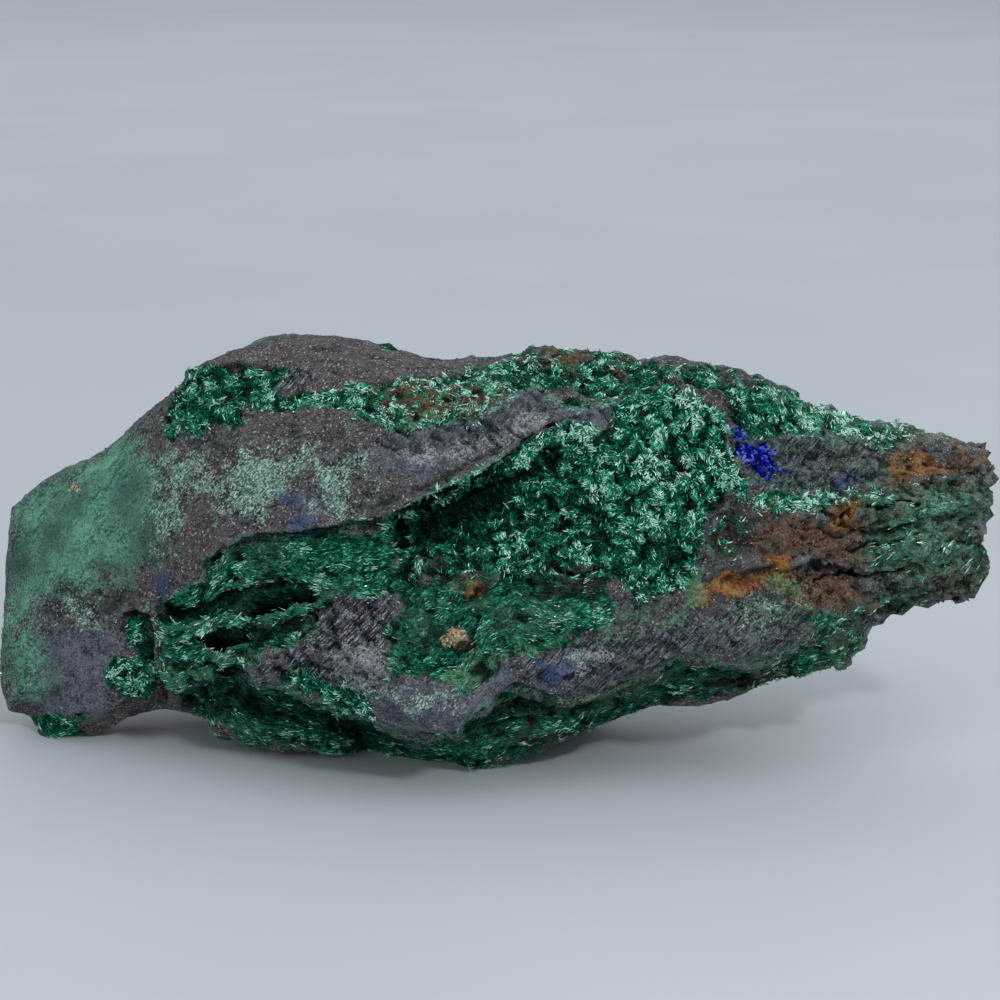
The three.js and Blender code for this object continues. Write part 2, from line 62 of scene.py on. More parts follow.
# Outlines on the show face, as (x, v) seen from the eye. Each names what lies on the ironstone there.
PATCHES = {
    "needles": [
        [(-66.8, 66.8), (-67, 72), (-65.6, 75.6), (-62, 80), (-57, 81.8), (-52.2, 80.8), (-47.8, 80.6),
         (-43.2, 81.2), (-43.8, 79), (-45.8, 76.4), (-46.6, 74), (-50.2, 73.2), (-52.2, 70), (-60.2, 69.6),
         (-64, 67.6)],
        [(-50.2, 72.8), (-44.8, 75.8), (-39.2, 77), (-31.2, 77), (-22.6, 78.8), (-12, 79.2), (-3.8, 80.4),
         (4.4, 83.6), (12.4, 84.2), (20, 84.6), (27.2, 82.6), (30, 80.6), (22.6, 78.6), (15, 79.8),
         (10.4, 76.6), (14.2, 73.6), (19, 73.6), (22.6, 75), (21.6, 74.2), (10, 75.6), (6.4, 78.2),
         (1, 75.4), (-6.6, 71), (-12, 70), (-21.4, 69.4), (-26.6, 70.8), (-32, 74.2), (-39.2, 74.6),
         (-46.6, 72.8)],
        [(12, 84.2), (22.6, 82.4), (30, 82.4), (35.4, 80.4), (41, 81.4), (49, 79.4), (58, 75.4), (66, 73),
         (74, 70.2), (83, 68.6), (76.8, 65.6), (72.8, 67), (65.4, 69), (54.4, 67.8), (49, 68.6), (46.4, 71),
         (43.6, 75), (38, 77), (30.8, 77.8), (25, 75.4), (20, 75), (15, 76.6)],
        [(-20, 51.4), (-15, 55), (-12, 56.4), (-3.8, 60), (1.4, 62.4), (6.4, 66.2), (10.4, 68.6),
         (14.6, 69.4), (19, 68.6), (22.6, 69), (23, 73.4), (26, 76), (30.8, 77.6), (35, 78.2), (38.2, 76.8),
         (41, 74.4), (44.8, 72.6), (45.2, 69.4), (44.4, 65.8), (46.8, 65), (47.2, 60.8), (49.2, 58.8),
         (50.4, 55.2), (45.2, 55.6), (42.2, 52.2), (41.8, 48.2), (40.6, 44.6), (38, 38), (32.8, 35.8),
         (28, 35), (20, 41.4), (9, 40.6), (0, 39), (-6, 40.2), (-14, 40.6), (-18.4, 39), (-20.8, 43),
         (-19.6, 47)],
        [(-75.2, 29.8), (-73.4, 32.6), (-71, 32.6), (-70.6, 28.8), (-69, 26.4), (-69, 23.4), (-73, 24.2),
         (-74.4, 27.2)],
        [(-79.4, 20.8), (-77.2, 23.4), (-69.6, 23), (-68.6, 18), (-70.6, 15.4), (-75.6, 15.8), (-79, 18.4)],
        [(-44.2, 20.2), (-38.9, 20.2), (-34.8, 19), (-29.9, 17.7), (-26.6, 14.8), (-25.4, 12), (-27.8, 12),
         (-33.2, 14.8), (-38, 16.1), (-41.8, 18.1)],
    ],
    "fibres": [
        [(-67, 32.6), (-66.4, 35.8), (-60, 38.6), (-57.6, 42.6), (-52, 46.6), (-42, 47.8), (-31, 49),
         (-20, 51.8), (-19.6, 46), (-20.8, 42), (-18, 38.6), (-21.4, 36.6), (-32, 35.8), (-36.4, 32.6),
         (-36.4, 27.4), (-42.4, 25.4), (-49.4, 22.2), (-53, 21.4), (-56, 19.8), (-66.4, 18.6), (-68.4, 21),
         (-68.6, 27)],
        [(-21, 33), (-17.4, 38.2), (-6, 39.8), (9, 40.2), (20, 41), (23.4, 34), (19.8, 29), (15.8, 27),
         (8.6, 23.8), (1.6, 23.4), (-2, 20.4), (-6.2, 17), (-8.6, 18.8), (-15.8, 19.8), (-22, 19.2),
         (-22.4, 25.4)],
        [(-66, 16.6), (-58.4, 18.2), (-53.6, 21.6), (-48.2, 17), (-41.8, 16), (-33.2, 12.8), (-27.8, 10.2),
         (-18.2, 6), (-8.6, 7.4), (0.2, 15.2), (3.8, 16.4), (13.8, 13.8), (21, 15.2), (29.4, 19),
         (38, 22.6), (50.4, 20.4), (58, 24), (66, 28.4), (72.4, 30.6), (73.2, 26.6), (70.6, 23), (58, 19.6),
         (41, 14.6), (32, 14.4), (26, 11.4), (12, 6.6), (0, 1.4), (-5, 0.6), (-18, 2.2), (-32, 4),
         (-48, 5.8), (-59, 10.4)],
        [(-93.6, 11), (-88, 11.8), (-83.2, 10.6), (-84, 7.6), (-91, 7.8)],
        [(73.2, 43), (76, 52), (80, 57), (88, 59), (95, 59), (99.2, 56.6), (95, 50.6), (97.2, 44),
         (96.8, 37), (90, 37.4), (81, 32.6), (72.4, 30.6), (63, 28.6), (61, 32), (72, 35), (80, 39)],
        [(51.4, 55.4), (60, 55.8), (70, 56.6), (81, 57.8), (80, 55), (72, 53.4), (60, 52.6), (53, 53)],
    ],
    "film": [
        [(-98.4, 30), (-97.4, 55), (-87.6, 60.8), (-80, 65.6), (-74.4, 69), (-71.6, 64.6), (-68, 61),
         (-67.4, 51), (-68.4, 43), (-76, 39.4), (-88, 37), (-94.4, 32.6)],
        [(-100, 27), (-94, 28.6), (-91.6, 23), (-92.4, 17), (-97.6, 17)],
        [(74, 61), (88, 58.6), (99.6, 61), (97, 51), (98, 37), (86, 38), (76, 40), (72.4, 46)],
        [(54, 78), (68, 74), (86, 69), (80, 64.6), (70, 67), (60, 69.4)],
        [(23.4, 34), (32, 35.8), (40, 35), (39.8, 32.6), (31.6, 29.4), (20, 27.8)],
    ],
    "dust": [
        [(-61.8, 58.2), (-52.6, 63.4), (-47.8, 64.4), (-39.2, 63.4), (-38.8, 61.4), (-42.4, 59.8),
         (-44.8, 56.2), (-47.8, 52.2), (-51.8, 51.8), (-53.4, 54.6), (-57, 54.2), (-61, 55.8)],
        [(-35.6, 61.8), (-27.4, 62.6), (-27.4, 59.8), (-30.4, 54.6), (-34.4, 54.2), (-37.2, 56.2),
         (-37.6, 58.2)],
        [(-67, 61), (-64, 63.4), (-62, 62.6), (-62.8, 55), (-64.8, 49.4), (-67.4, 44.6), (-68.4, 51)],
        [(-86, 33.2), (-83.4, 33.6), (-82.6, 31.8), (-85.4, 31.2)],
        [(-19.6, 16.2), (-12, 17), (-7.2, 15), (-9, 12.6), (-18, 12.6)],
        [(46, 35), (53, 35.8), (56.8, 34.2), (55.2, 30.2), (48, 30.6)],
        [(14.2, 23), (17, 23.8), (17.8, 20.6), (15.4, 18.2)],
        [(-12, 75), (-6, 75.4), (-3, 73.4), (-8, 71.8)],
    ],
    "rust": [
        [(77.6, 57.8), (78.8, 62.8), (83, 65.6), (85.8, 63.2), (87.4, 60.8), (83.8, 58.6)],
        [(39.6, 37), (44.2, 40), (49.4, 41.6), (54.6, 40.4), (52.4, 38.2), (46.6, 35.8), (42.2, 33.8),
         (40, 34.6)],
        [(52, 44.8), (56.4, 44.8), (56.8, 42), (52.8, 41.8)],
        [(66.6, 52.2), (70.2, 53.8), (70.8, 50.6), (67.6, 50.2)],
        [(55.6, 40.4), (61.2, 40.4), (61.2, 38.2), (56, 38.2)],
        [(-6.8, 39), (-2.8, 39.8), (-2, 37.4), (-6, 37)],
    ],
    "brown": [
        [(53.6, 53), (58.8, 52.2), (64.6, 50.6), (70.2, 53.8), (74, 51), (72.8, 46.4), (72, 42.8),
         (67.8, 42.4), (60.4, 43.6), (55.6, 41.2), (52, 43.2), (52.4, 46.4)],
        [(87, 62.8), (95.2, 64.8), (98.8, 66.2), (100, 64.4), (98.8, 61.2), (91, 60.8), (87.6, 61)],
        [(42.6, 53), (47, 54.4), (51.4, 50.6), (51.4, 44), (45, 43.6), (41.2, 46)],
        [(-51.8, 29), (-47.6, 29.6), (-40, 31.4), (-35.6, 33.8), (-36.8, 31), (-44, 29), (-49, 28.2)],
        [(7.6, 40.6), (15, 41.4), (19.2, 40.2), (18.4, 35.4), (12, 37), (9, 37)],
        [(5.6, 82.6), (12, 84.6), (17, 84.2), (14, 81.4), (9, 80.8)],
        [(22.6, 83), (25.6, 83.4), (26.4, 81.4), (24, 80.4)],
        [(20, 17), (27, 18.8), (32, 20.6), (28, 17), (22, 15)],
        [(4, 7), (12, 7.4), (20, 10.6), (14, 6.6), (6, 4.6)],
        [(38, 19), (48, 19.8), (58, 21.4), (48, 17), (40, 16.2)],
        [(85.6, 40.6), (93, 41.8), (95, 38), (88, 35.4)],
        [(-16, 43), (-12, 43.8), (-11, 40.6), (-15, 40.2)],
        [(53, 40), (62, 41.4), (72, 40.6), (75, 36), (67, 33), (58, 34.6)],
        [(-80, 37), (-75, 37.8), (-74, 34.6), (-79, 33.8)],
        [(-24, 78.2), (-10, 77.8), (1, 76.6), (-2, 73.4), (-12, 71), (-21, 71), (-24.4, 74.6)],
    ],
    "steel": [
        [(-35.6, 34.8), (-32, 36), (-21.4, 36.8), (-20.6, 31.2), (-22.2, 27.4), (-22.6, 20.6), (-25, 17.4),
         (-31, 17), (-36.4, 19.4), (-42.4, 19.4), (-47.8, 17.8), (-52.2, 20.6), (-49.4, 22.2),
         (-42.4, 25.8), (-37.2, 27.4)],
        [(-24.6, 66.8), (-18.6, 69.6), (-11.2, 69.6), (-3.8, 70.8), (1.4, 73.8), (6, 77.8), (7.6, 76.8),
         (10.8, 74.8), (15, 72.8), (22.6, 73), (22.2, 70.6), (16.6, 69.4), (10.8, 69.4), (7.6, 68.2),
         (4.4, 65.4), (0.2, 63.6), (-3.8, 64.6), (-12, 66), (-20, 65)],
        [(36, 26), (44.2, 33), (52.4, 37.8), (56.4, 37.4), (60.4, 34.2), (62.2, 31.8), (60.4, 28),
         (56.4, 25.2), (52.4, 21.6), (49.4, 22.8), (46.2, 26), (40, 25)],
        [(46.2, 68), (54.4, 67.6), (65.4, 68.8), (72.8, 67.2), (76.8, 65.6), (75.6, 61.6), (71.4, 57.8),
         (66.6, 57), (60.4, 56.2), (54, 55.4), (50.6, 57.4), (47.4, 61.6)],
        [(4, 23), (8.6, 23.8), (15.8, 27), (23.4, 27.4), (31.6, 30), (40, 33.6), (40, 27), (36.8, 24),
         (29.4, 20), (21, 16.2), (13.8, 14.8), (9, 15.4), (5, 17.4)],
        [(26.6, 39.8), (30, 41.4), (33.6, 39.8), (33.2, 36.6), (29, 36)],
        [(-48.4, 77.8), (-40, 80.2), (-38, 78.2), (-45, 75.4)],
        [(-66, 19.8), (-58.4, 21.4), (-52.6, 22.6), (-53.6, 19.8), (-59, 17.8), (-65.6, 17.4)],
    ],
    "blue": [
        [(46.2, 69.8), (48.2, 69.4), (48.2, 67), (46.6, 67)],
        [(47, 65.6), (52, 66.2), (55.2, 64.6), (54.8, 60.2), (51.2, 60.2), (50.4, 62.6), (47.6, 63)],
        [(-42.8, 51), (-40, 51.8), (-36.8, 50.6), (-37.6, 48.6), (-42, 48.4)],
        [(-44.2, 56.2), (-40, 55.8), (-40.8, 53.8), (-43.6, 53.8)],
        [(7.6, 21.4), (12, 23), (15, 22.2), (14, 18.2), (9, 17.8)],
        [(66.2, 60.2), (70, 61.2), (72.8, 59.8), (69.6, 57.2), (66.8, 57.4)],
        [(-68.8, 39), (-67.2, 40.6), (-66.4, 36.2), (-68.4, 35)],
    ],
    "slate": [
        [(-94, 25), (-86, 28.6), (-78, 29), (-75.6, 25), (-77.6, 18), (-79, 12), (-88, 10.6), (-95, 14)],
        [(-26, 61), (-22, 68), (-14, 70), (-4, 71), (2, 74.6), (7, 78), (12, 74.4), (20, 73), (26, 71),
         (18, 69.6), (8, 69), (2, 65.4), (-6, 62), (-16, 59)],
        [(-37, 61), (-33, 56), (-36, 52), (-42, 50), (-40, 56)],
        [(-22, 18), (-17.4, 19.2), (-8.6, 18.6), (-6.2, 17), (-2, 20.4), (1.6, 23.4), (3.8, 17.4),
         (0.2, 16.2), (-3.2, 13.6), (-8.6, 8.4), (-14, 6.8), (-18.2, 7), (-22.4, 9), (-25, 13)],
    ],
    "ash": [
        [(-34, 22), (-31.6, 24.6), (-27.6, 25.8), (-23.4, 24.4), (-21.4, 21), (-23.6, 18.2), (-29, 17.6),
         (-33, 19)],
        [(-20, 63.6), (-10, 65), (0, 68), (7, 72), (11.6, 72.6), (8, 69.6), (2, 66.2), (-8, 63.6),
         (-16, 62.4)],
        [(10, 22.6), (16, 24.4), (22, 24), (20, 20.4), (13, 19.4)],
    ],
    "tan": [
        [(-12.8, 27.4), (-8.6, 30), (-5.6, 28), (-6.4, 25.4), (-9.6, 24.6), (-12, 25.8)],
        [(-86.2, 59.2), (-84.6, 59), (-84.6, 57.4), (-86.2, 57.6)],
        [(12, 15), (20, 16.6), (18, 14.6), (12, 13.4)],
    ],
    "lime": [
        [(23.4, 27.4), (31.6, 30.2), (36.2, 31.6), (35.6, 30.2), (28, 28.2), (24, 26.6)],
        [(-67, 20.6), (-60, 22.2), (-53, 24.2), (-42, 25.8), (-34, 28.6), (-40, 25.4), (-52, 21.8),
         (-65, 19)],
        [(-12, 20.6), (-6, 23), (0, 25), (9, 25.4), (16, 28.2), (12, 25.8), (1.6, 23.4), (-2, 20.4),
         (-6, 17.4), (-10, 18.2)],
        [(-21, 70), (-12, 72.2), (-5, 73), (-10, 70.2), (-18, 69.4)],
        [(36, 40), (39.6, 41.4), (41.4, 38.6), (40, 34.6), (37, 35.4)],
        [(53.6, 39.6), (60, 40), (62, 37), (56, 35.6)],
        [(4, 14.2), (12, 13.4), (20, 14.6), (30, 18.2), (20, 12.6), (8, 11.8)],
    ],
    "bare": [
        [(31, 79.4), (34.8, 79.8), (39.3, 77.6), (43.8, 76.9), (46.3, 73.7), (47, 69.9), (45, 70.5),
         (43.1, 74.4), (39.3, 75.3), (34.8, 77.8), (31.6, 77.8)],
        [(43.8, 80.8), (50.2, 78.2), (51.4, 76.6), (47, 77.8), (43, 79.4)],
        [(13.8, 83.6), (18.2, 84.4), (18.8, 82.6), (15, 81.8)],
        [(52, 77), (58, 74), (54, 73.8)],
    ],
    "slot": [
        [(-53.6, 33), (-52, 35.4), (-48.4, 36.6), (-43.4, 37.2), (-38.4, 37), (-36.6, 35.9), (-39.6, 34.7),
         (-43.6, 33.5), (-48, 32.4), (-51.6, 32)],
        [(-59.4, 26), (-57.8, 27.9), (-54.6, 28.8), (-51, 28.7), (-49, 27.6), (-51.6, 26.5), (-54.6, 25.8),
         (-57, 25.3)],
        [(-64.2, 30.8), (-62.6, 31.4), (-59.8, 32.3), (-58.6, 32.9), (-59.8, 31.2), (-62.2, 30.2)],
    ],
    "hollow": [
        [(-18.6, 49.2), (-15.4, 52), (-10.8, 55.6), (-4.8, 57.9), (0.6, 59.8), (5.7, 62), (11.2, 63.8),
         (9.4, 62), (5.7, 59.8), (1.6, 56), (-1.6, 53.3), (-4.8, 51.5), (-8.1, 49.6), (-11.8, 47.4),
         (-17.2, 45), (-19.1, 46.9)],
        [(-66, 16.4), (-58, 17.4), (-53, 20.4), (-48, 16.4), (-42, 15.4), (-33, 12.2), (-22, 7.4),
         (-20, 5.5), (-30, 7), (-44, 9.5), (-54, 11), (-62, 13.4)],
        [(-8, 8), (-3, 12.6), (4, 15.8), (9, 14), (14, 13.4), (21, 15), (16, 11.6), (4, 10.6), (-2, 7.6)],
    ],
}

# Lines on the show face: the shoulder's green lower edge, the worn rims and the left block's step.
SHOULDER_BAND = [(-22.2, 51.4), (-17.4, 52.7), (-13.2, 55.2), (-8.8, 57.2), (-5.2, 59.4), (-1.2, 61),
                 (2.7, 62.6), (5.9, 65.4), (9, 67.6), (13.8, 69), (18.6, 69.2)]
SHOULDER_RIM = [(-67, 35.4), (-60, 38.6), (-57.6, 43), (-52, 47), (-42, 48), (-32, 49), (-20, 52.2),
                (-14, 56.2), (-4, 61), (4, 65), (12, 68.2), (20, 69)]
LOWER_RIM = [(-68.4, 19.8), (-64.8, 17.2), (-58.4, 18.8), (-53.6, 22.6), (-48.2, 18), (-41.8, 17),
             (-33.2, 13.8), (-27.8, 11.2), (-22.4, 9), (-18.2, 7), (-14, 6.8), (-8.6, 8.4), (-3.2, 13.6),
             (0.2, 16.2), (3.8, 17.4), (9, 15.4), (13.8, 14.8), (21, 16.2), (29.4, 20), (36.8, 24),
             (44, 22.2), (50.4, 21.4), (58, 25), (66, 29.4), (72.4, 31.8)]
STEP = [(-74.4, 69), (-68.4, 61), (-67.4, 47), (-69.6, 35), (-70, 29), (-69, 23), (-68.6, 17)]
STEP_RIM = [(-70.6, 34.6), (-70.6, 30), (-68.8, 26.4), (-68.3, 20), (-66, 18)]
CREST_EDGE = [(-50.2, 72.8), (-39.2, 74.4), (-31, 74), (-21.4, 69.4), (-12, 69.8), (-1.8, 72.6),
              (6.4, 78.2), (14.2, 73.2), (22.6, 74.6)]

# How far each mineral's edge wanders, and how softly it ends.
EDGES = {
    "needles": (1.5, 0.7), "fibres": (2, 1.3), "film": (3.4, 7), "dust": (4, 5), "rust": (2.6, 3.4),
    "brown": (3, 3.4), "steel": (2, 1.8), "blue": (1.2, 1.6), "slate": (2.4, 4), "ash": (2, 2.6),
    "tan": (1.6, 0.9), "lime": (1.6, 2.4), "bare": (1, 0.7), "slot": (0.5, 0.3), "hollow": (1.2, 2),
}

# Patches on the hidden sides: the size, layers and seed of the noise that places them, how much more of them
# there is at the left and right ends, and the noise at which they begin and are full.
HIDDEN_PATCHES = {
    "film": (34, 3, 24, 0.5, 0.25, 0.16, 0.5),
    "dust": (15, 3, 25, 0, 0, 0.4, 0.62),
    "rust": (16, 3, 26, 0, 0.35, 0.56, 0.8),
    "brown": (20, 3, 27, 0, 0.15, 0.36, 0.56),
    "steel": (24, 3, 28, 0, 0, 0.36, 0.52),
    "blue": (11, 2, 29, 0, 0, 0.72, 0.9),
    "slate": (24, 2, 35, 0, 0, 0.2, 0.5),
    "ash": (13, 2, 32, 0, 0, 0.5, 0.8),
    "tan": (9, 2, 30, 0, 0, 0.8, 0.95),
}

STEP_ROUNDING = 260  # rounds of smoothing
SLOT_DEPTH = 6  # how far the dark slots are cut in
SLOT_MARGIN = 0.6  # how far crystals stay back from the slots
HOLLOW_DEPTH = 1  # how far the shades below the rims are cut in
BAND_RISE = 3.5  # how far the shoulder's lower edge is brought forward
LIP_LINE = [(-26, 51.4), (-21.2, 53.3), (-16.4, 57.2), (-12.3, 60.3), (-8.2, 62.2), (-3, 64.5), (1.8, 65.4),
            (5.9, 68.3), (9, 70.2)]
LIP_DROP = 3.2  # how far the shoulder's lip is drawn down at its middle
LIP_MIDDLE = (-8, 18)  # its place and half width along x
SCRATCH_TURN = np.array([[0.8, 0.6, 0], [0, 0, 1], [-0.6, 0.8, 0]])  # sets how the metallic rock is scored

# Lumps of their own on the show face: x, v, half width, half height and how far they stand out.
SWELLS = [
    (-28.4, 21.8, 6.5, 4.6, 1.7), (46, 27, 14, 7, 1.8), (-74, 19.4, 5.8, 4.4, 1.5), (-72, 28, 3.4, 5, 0.9),
    (-59, 19.8, 7, 2.6, 1), (-38, 26, 5, 7, 1), (10, 25, 12, 5, -0.8), (-14, 88, 16, 4, 0.8),
    (-47, 84, 14, 5, 0.9), (-30, 60, 16, 8, 0.9), (36, 74, 10, 7, 1), (58, 66, 10, 5, -0.8),
    (60, 46, 12, 5, -0.8), (82, 56, 9, 5, 0.8), (-88, 52, 10, 12, -0.5), (0, 14, 12, 4, 1),
]

# Where azurite blades stand, a seam of bright malachite, and a strip at the right where needles thin out.
AZURITE_OUTLINES = [
    [(47.6, 65.4), (50, 66), (53.6, 65.4), (54, 63.4), (50.6, 62.6), (48.4, 63.2)],
    [(51, 62.4), (54.8, 62.4), (55.2, 60.6), (52.8, 59.8), (51.2, 60.8)],
    [(46.8, 70), (47.8, 69.6), (48, 67.8), (47, 68)],
]
SEAM = [(46, 59), (50, 55), (54, 54), (60, 54.4), (70, 55.4), (76, 56)]
FRINGE = [(40, 56), (48, 55), (52, 51), (51.6, 44.4), (45, 42), (39, 40), (40.6, 46)]

# The beds follow these lines from the keel to the crest. Each line has its own height in the pile of beds.
BED_LINES = [
    (0, [(-100, 16), (-88, 7.6), (-68, 14.2), (-59, 10.6), (-48, 6), (-32, 4.2), (-5, 0.8), (12, 6.6),
         (32, 14.4), (58, 19.6), (72, 25), (81, 31.8), (94, 34.8), (100, 43)]),
    (14, [(-100, 25)] + LOWER_RIM + [(84, 37), (100, 47)]),
    (34, [(-100, 42)] + SHOULDER_RIM[:9] + [(12, 60), (30, 58), (48, 55), (72, 57), (100, 59)]),
    (62, [(-97, 54.4), (-88, 60.8), (-80, 65.6), (-70, 73.2), (-60, 81), (-44, 87.4), (-28, 86.8),
          (16, 84.8), (40, 82.2), (60, 74.4), (84, 69.2), (100, 65.2)]),
]

# Cracks, as the points that each runs through and how deep it is.
CRACKS = [
    ([(62, 38.6), (66, 40.6), (71, 40.4), (76, 40), (81, 40.4)], 1.2),
    ([(92, 46.6), (95, 46), (98, 46.2)], 1),
    ([(72, 54), (76, 53.4), (80, 54.6), (84, 54)], 0.8),
    ([(70, 44.6), (74, 46.4), (78, 46), (84, 48.6)], 0.7),
    ([(32, 52), (38, 54), (44, 60), (48, 65.4)], 0.8),
    ([(12, 40.6), (16, 40), (20, 41.4)], 1.2),
    ([(67.6, 51.6), (69.4, 52.6), (70.2, 51.6)], 1.2),
    ([(80, 30.6), (86, 33), (92, 35.6)], 1),
]

# The noise's numbers: primes and shifts that scramble a cell's place, and where cells are counted from.
AXIS_PRIMES = (73856093, 19349663, 83492791)
SEED_PRIME, SEED_START = 2654435761, 12345
SCRAMBLES = ((15, 2246822519), (13, 3266489917))
CELL_SHIFT = 4096
SEED_SHIFT = 37.7

# Pieces with malachite needles: the zone that they grow in, how many fans, the seed, and how they grow.
NEEDLES_IN_FAN = 6
NEEDLE_PIECES = [
    ("malachite_boss_needles_1", "boss", 5300, 41, dict(sizes=(0.5, 1.4), width=0.11, along=0.25)),
    ("malachite_boss_needles_2", "boss", 5300, 42, dict(sizes=(0.5, 1.4), width=0.11, along=0.25)),
    ("malachite_pocket_needles", "pocket", 1100, 50, dict(sizes=(0.5, 1.4), width=0.1)),
    ("malachite_bed_fibres", "beds", 4000, 60,
     dict(sizes=(0.6, 1.7), width=0.08, rise=(0.02, 0.25), along=0.8, apart=0.4)),
    ("malachite_hidden_needles", "hidden", 3500, 70,
     dict(sizes=(0.7, 1.6), width=0.1, rise=(0.02, 0.2), apart=0.4)),
]
FAN_SPLAY = 0.16  # how widely a fan opens, in radians
ROOT_SINK = 0.12  # how deep a crystal is rooted
CRYSTAL_GAP = 0.02  # between the lowest crystals and the resting plane
TURN_SEED = 1000  # added to a piece's seed for how its crystals are turned

# Pieces with single grains: the zone that they lie in, how many, the seed and the slot.
GRAIN_PIECES = [
    ("ironstone_grains", "rock", 10000, 71, "ironstone"),
    ("malachite_dust", "dust", 4500, 72, "malachite"),
]
GRAIN_SIZES = (0.16, 0.36)
GRAIN_WIDTH = 0.42  # of its length

BLADE_TUFTS = 110
BLADES_IN_TUFT = 4
BLADE_SIZES = (0.6, 1.3)
BLADE_WIDTH = 0.3  # of its length
BLADE_SEED = 80

# The crystals' colours from deep to bright, and their roughness. The bright colour is painted glints.
CRYSTAL_COLOURS = {
    "malachite_crystals": ((0, 20, 15), (0, 118, 90), (46, 192, 150), (206, 255, 240), 0.25),
    "azurite_crystals": ((3, 4, 44), (12, 18, 124), (24, 34, 170), (96, 122, 226), 0.2),
    "ironstone_grains": ((26, 25, 28), (70, 68, 71), (120, 118, 121), (226, 230, 232), 0.25),
    "malachite_dust": ((62, 92, 84), (92, 134, 122), (136, 182, 168), (222, 244, 236), 0.35),
}

PAPER_RADIUS = 8000
COOL_WHITE = (0.97, 0.985, 1)
# The lights: where each hangs, where it shines, its width and height, its watts and its colour.
LIGHTS = [
    ("overhead", (300, -250, 760), (0, 40, 0), (900, 700), 2.2, COOL_WHITE),
    ("far_light", (0, 1250, 1000), (0, 1250, 0), (2600, 1500), 8, COOL_WHITE),
    ("window", (300, -560, 520), (0, 0, 40), (80, 80), 1.5, (1, 1, 1)),
    ("fill", (-600, -600, 300), (0, 0, 40), (500, 500), 0.9, (0.96, 0.98, 1)),
]
ROOM_COLOUR = (0.93, 0.965, 1, 1)
ROOM_STRENGTH = 0.42

# ---- Measures on the show face ----


def smooth(x, low, high):
    """0 below low, 1 above high, and an easy curve between them."""
    t = np.clip((x - low) / (high - low), 0, 1)
    return t * t * (3 - 2 * t)


def unit(vectors):
    return vectors / np.maximum(np.linalg.norm(vectors, axis=-1, keepdims=True), 1e-12)


def face_to_part(x, v, d):
    """A point of the show face's frame, in the part's frame. Both are in millimetres."""
    return np.array([
        x + FACE_SHIFT[0],
        d * math.cos(LEAN) + v * math.sin(LEAN) + FACE_SHIFT[1],
        v * math.cos(LEAN) - d * math.sin(LEAN) - FLOOR_DROP,
    ])


def face_move(v, d):
    """A move up the show face and into it, in the part's frame."""
    return face_to_part(0, v, d) - face_to_part(0, 0, 0)


def on_face(points):
    """How high up the show face each point lies, and how far behind it."""
    y = points[:, 1] - FACE_SHIFT[1]
    z = points[:, 2] + FLOOR_DROP
    return y * math.sin(LEAN) + z * math.cos(LEAN), y * math.cos(LEAN) - z * math.sin(LEAN)


def seen_from_eye(points):
    """Where the eye sees the points on the show face: their x and v there."""
    v, depth = on_face(points)
    shrink = EYE[2] / (EYE[2] - depth)
    return (points[:, 0] - FACE_SHIFT[0]) * shrink, EYE[1] + (v - EYE[1]) * shrink


def facing_eye(points, normals):
    """1 on what faces the eye, and 0 on the sides and the back."""
    to_eye = unit(face_to_part(*EYE) - points)
    return smooth((normals * to_eye).sum(1), *TURN_OF_SIGHT)


def distance_to_line(line, x, v):
    nearest = np.full(x.shape, np.inf)
    for (ax, av), (bx, bv) in zip(line, line[1:]):
        ex, ev = bx - ax, bv - av
        t = np.clip(((x - ax) * ex + (v - av) * ev) / (ex * ex + ev * ev), 0, 1)
        nearest = np.minimum(nearest, np.hypot(x - ax - t * ex, v - av - t * ev))
    return nearest


def depth_inside(outline, x, v):
    """How far inside an outline each point lies. It is below 0 outside."""
    closed = outline + outline[:1]
    inside = np.zeros(x.shape, bool)
    for (ax, av), (bx, bv) in zip(closed, closed[1:]):
        if av != bv:
            inside ^= ((av > v) != (bv > v)) & (x < (bx - ax) * (v - av) / (bv - av) + ax)
    edge = distance_to_line(closed, x, v)
    return np.where(inside, edge, -edge)


def depth_in_any(outlines, x, v):
    return np.max([depth_inside(outline, x, v) for outline in outlines], axis=0)


def bed_height(x, v):
    """Height in the pile of beds at each point of the show face."""
    rows = [(level, np.interp(x, *zip(*line))) for level, line in BED_LINES]
    height = rows[0][0] + (v - rows[0][1])
    for (low, below), (high, above) in zip(rows, rows[1:]):
        share = (v - below) / np.maximum(above - below, 1)
        height = np.where(share > 0, low + np.minimum(share, 1.2) * (high - low), height)
    return height


# ---- Noise ----


def hashed(cells, seed):
    """Three numbers from -1 to 1 for each whole-numbered cell."""
    cells = (cells + CELL_SHIFT).astype(np.int64).astype(np.uint64)
    mixed = np.full(cells.shape[:-1], seed * SEED_PRIME + SEED_START, np.uint64)
    for axis, prime in enumerate(AXIS_PRIMES):
        mixed ^= cells[..., axis] * np.uint64(prime)
    values = []
    for _ in range(3):
        for shift, factor in SCRAMBLES:
            mixed ^= mixed >> np.uint64(shift)
            mixed *= np.uint64(factor)
            mixed &= np.uint64(2**32 - 1)
        values.append(mixed.astype(float) / 2**31 - 1)
    return np.stack(values, axis=-1)


def lumps(points, size, seed=1):
    """Smooth noise of about -1 to 1, in lumps of the given size. size may differ by axis."""
    q = points / np.asarray(size, float) + SEED_SHIFT * seed
    cell = np.floor(q)
    f = q - cell
    u = f * f * f * (f * (f * 6 - 15) + 10)
    total = np.zeros(len(points))
    for corner in np.ndindex(2, 2, 2):
        step = np.array(corner)
        share = np.where(step, u, 1 - u).prod(axis=1)
        total += share * ((f - step) * hashed(cell + step, seed)).sum(axis=1)
    return 1.5 * total


def layered(points, size, layers, seed=1):
    """Noise with finer and fainter noise on it."""
    scale = np.asarray(size, float)
    return sum(lumps(points, scale / 2**k, seed + k) / 2**k for k in range(layers))


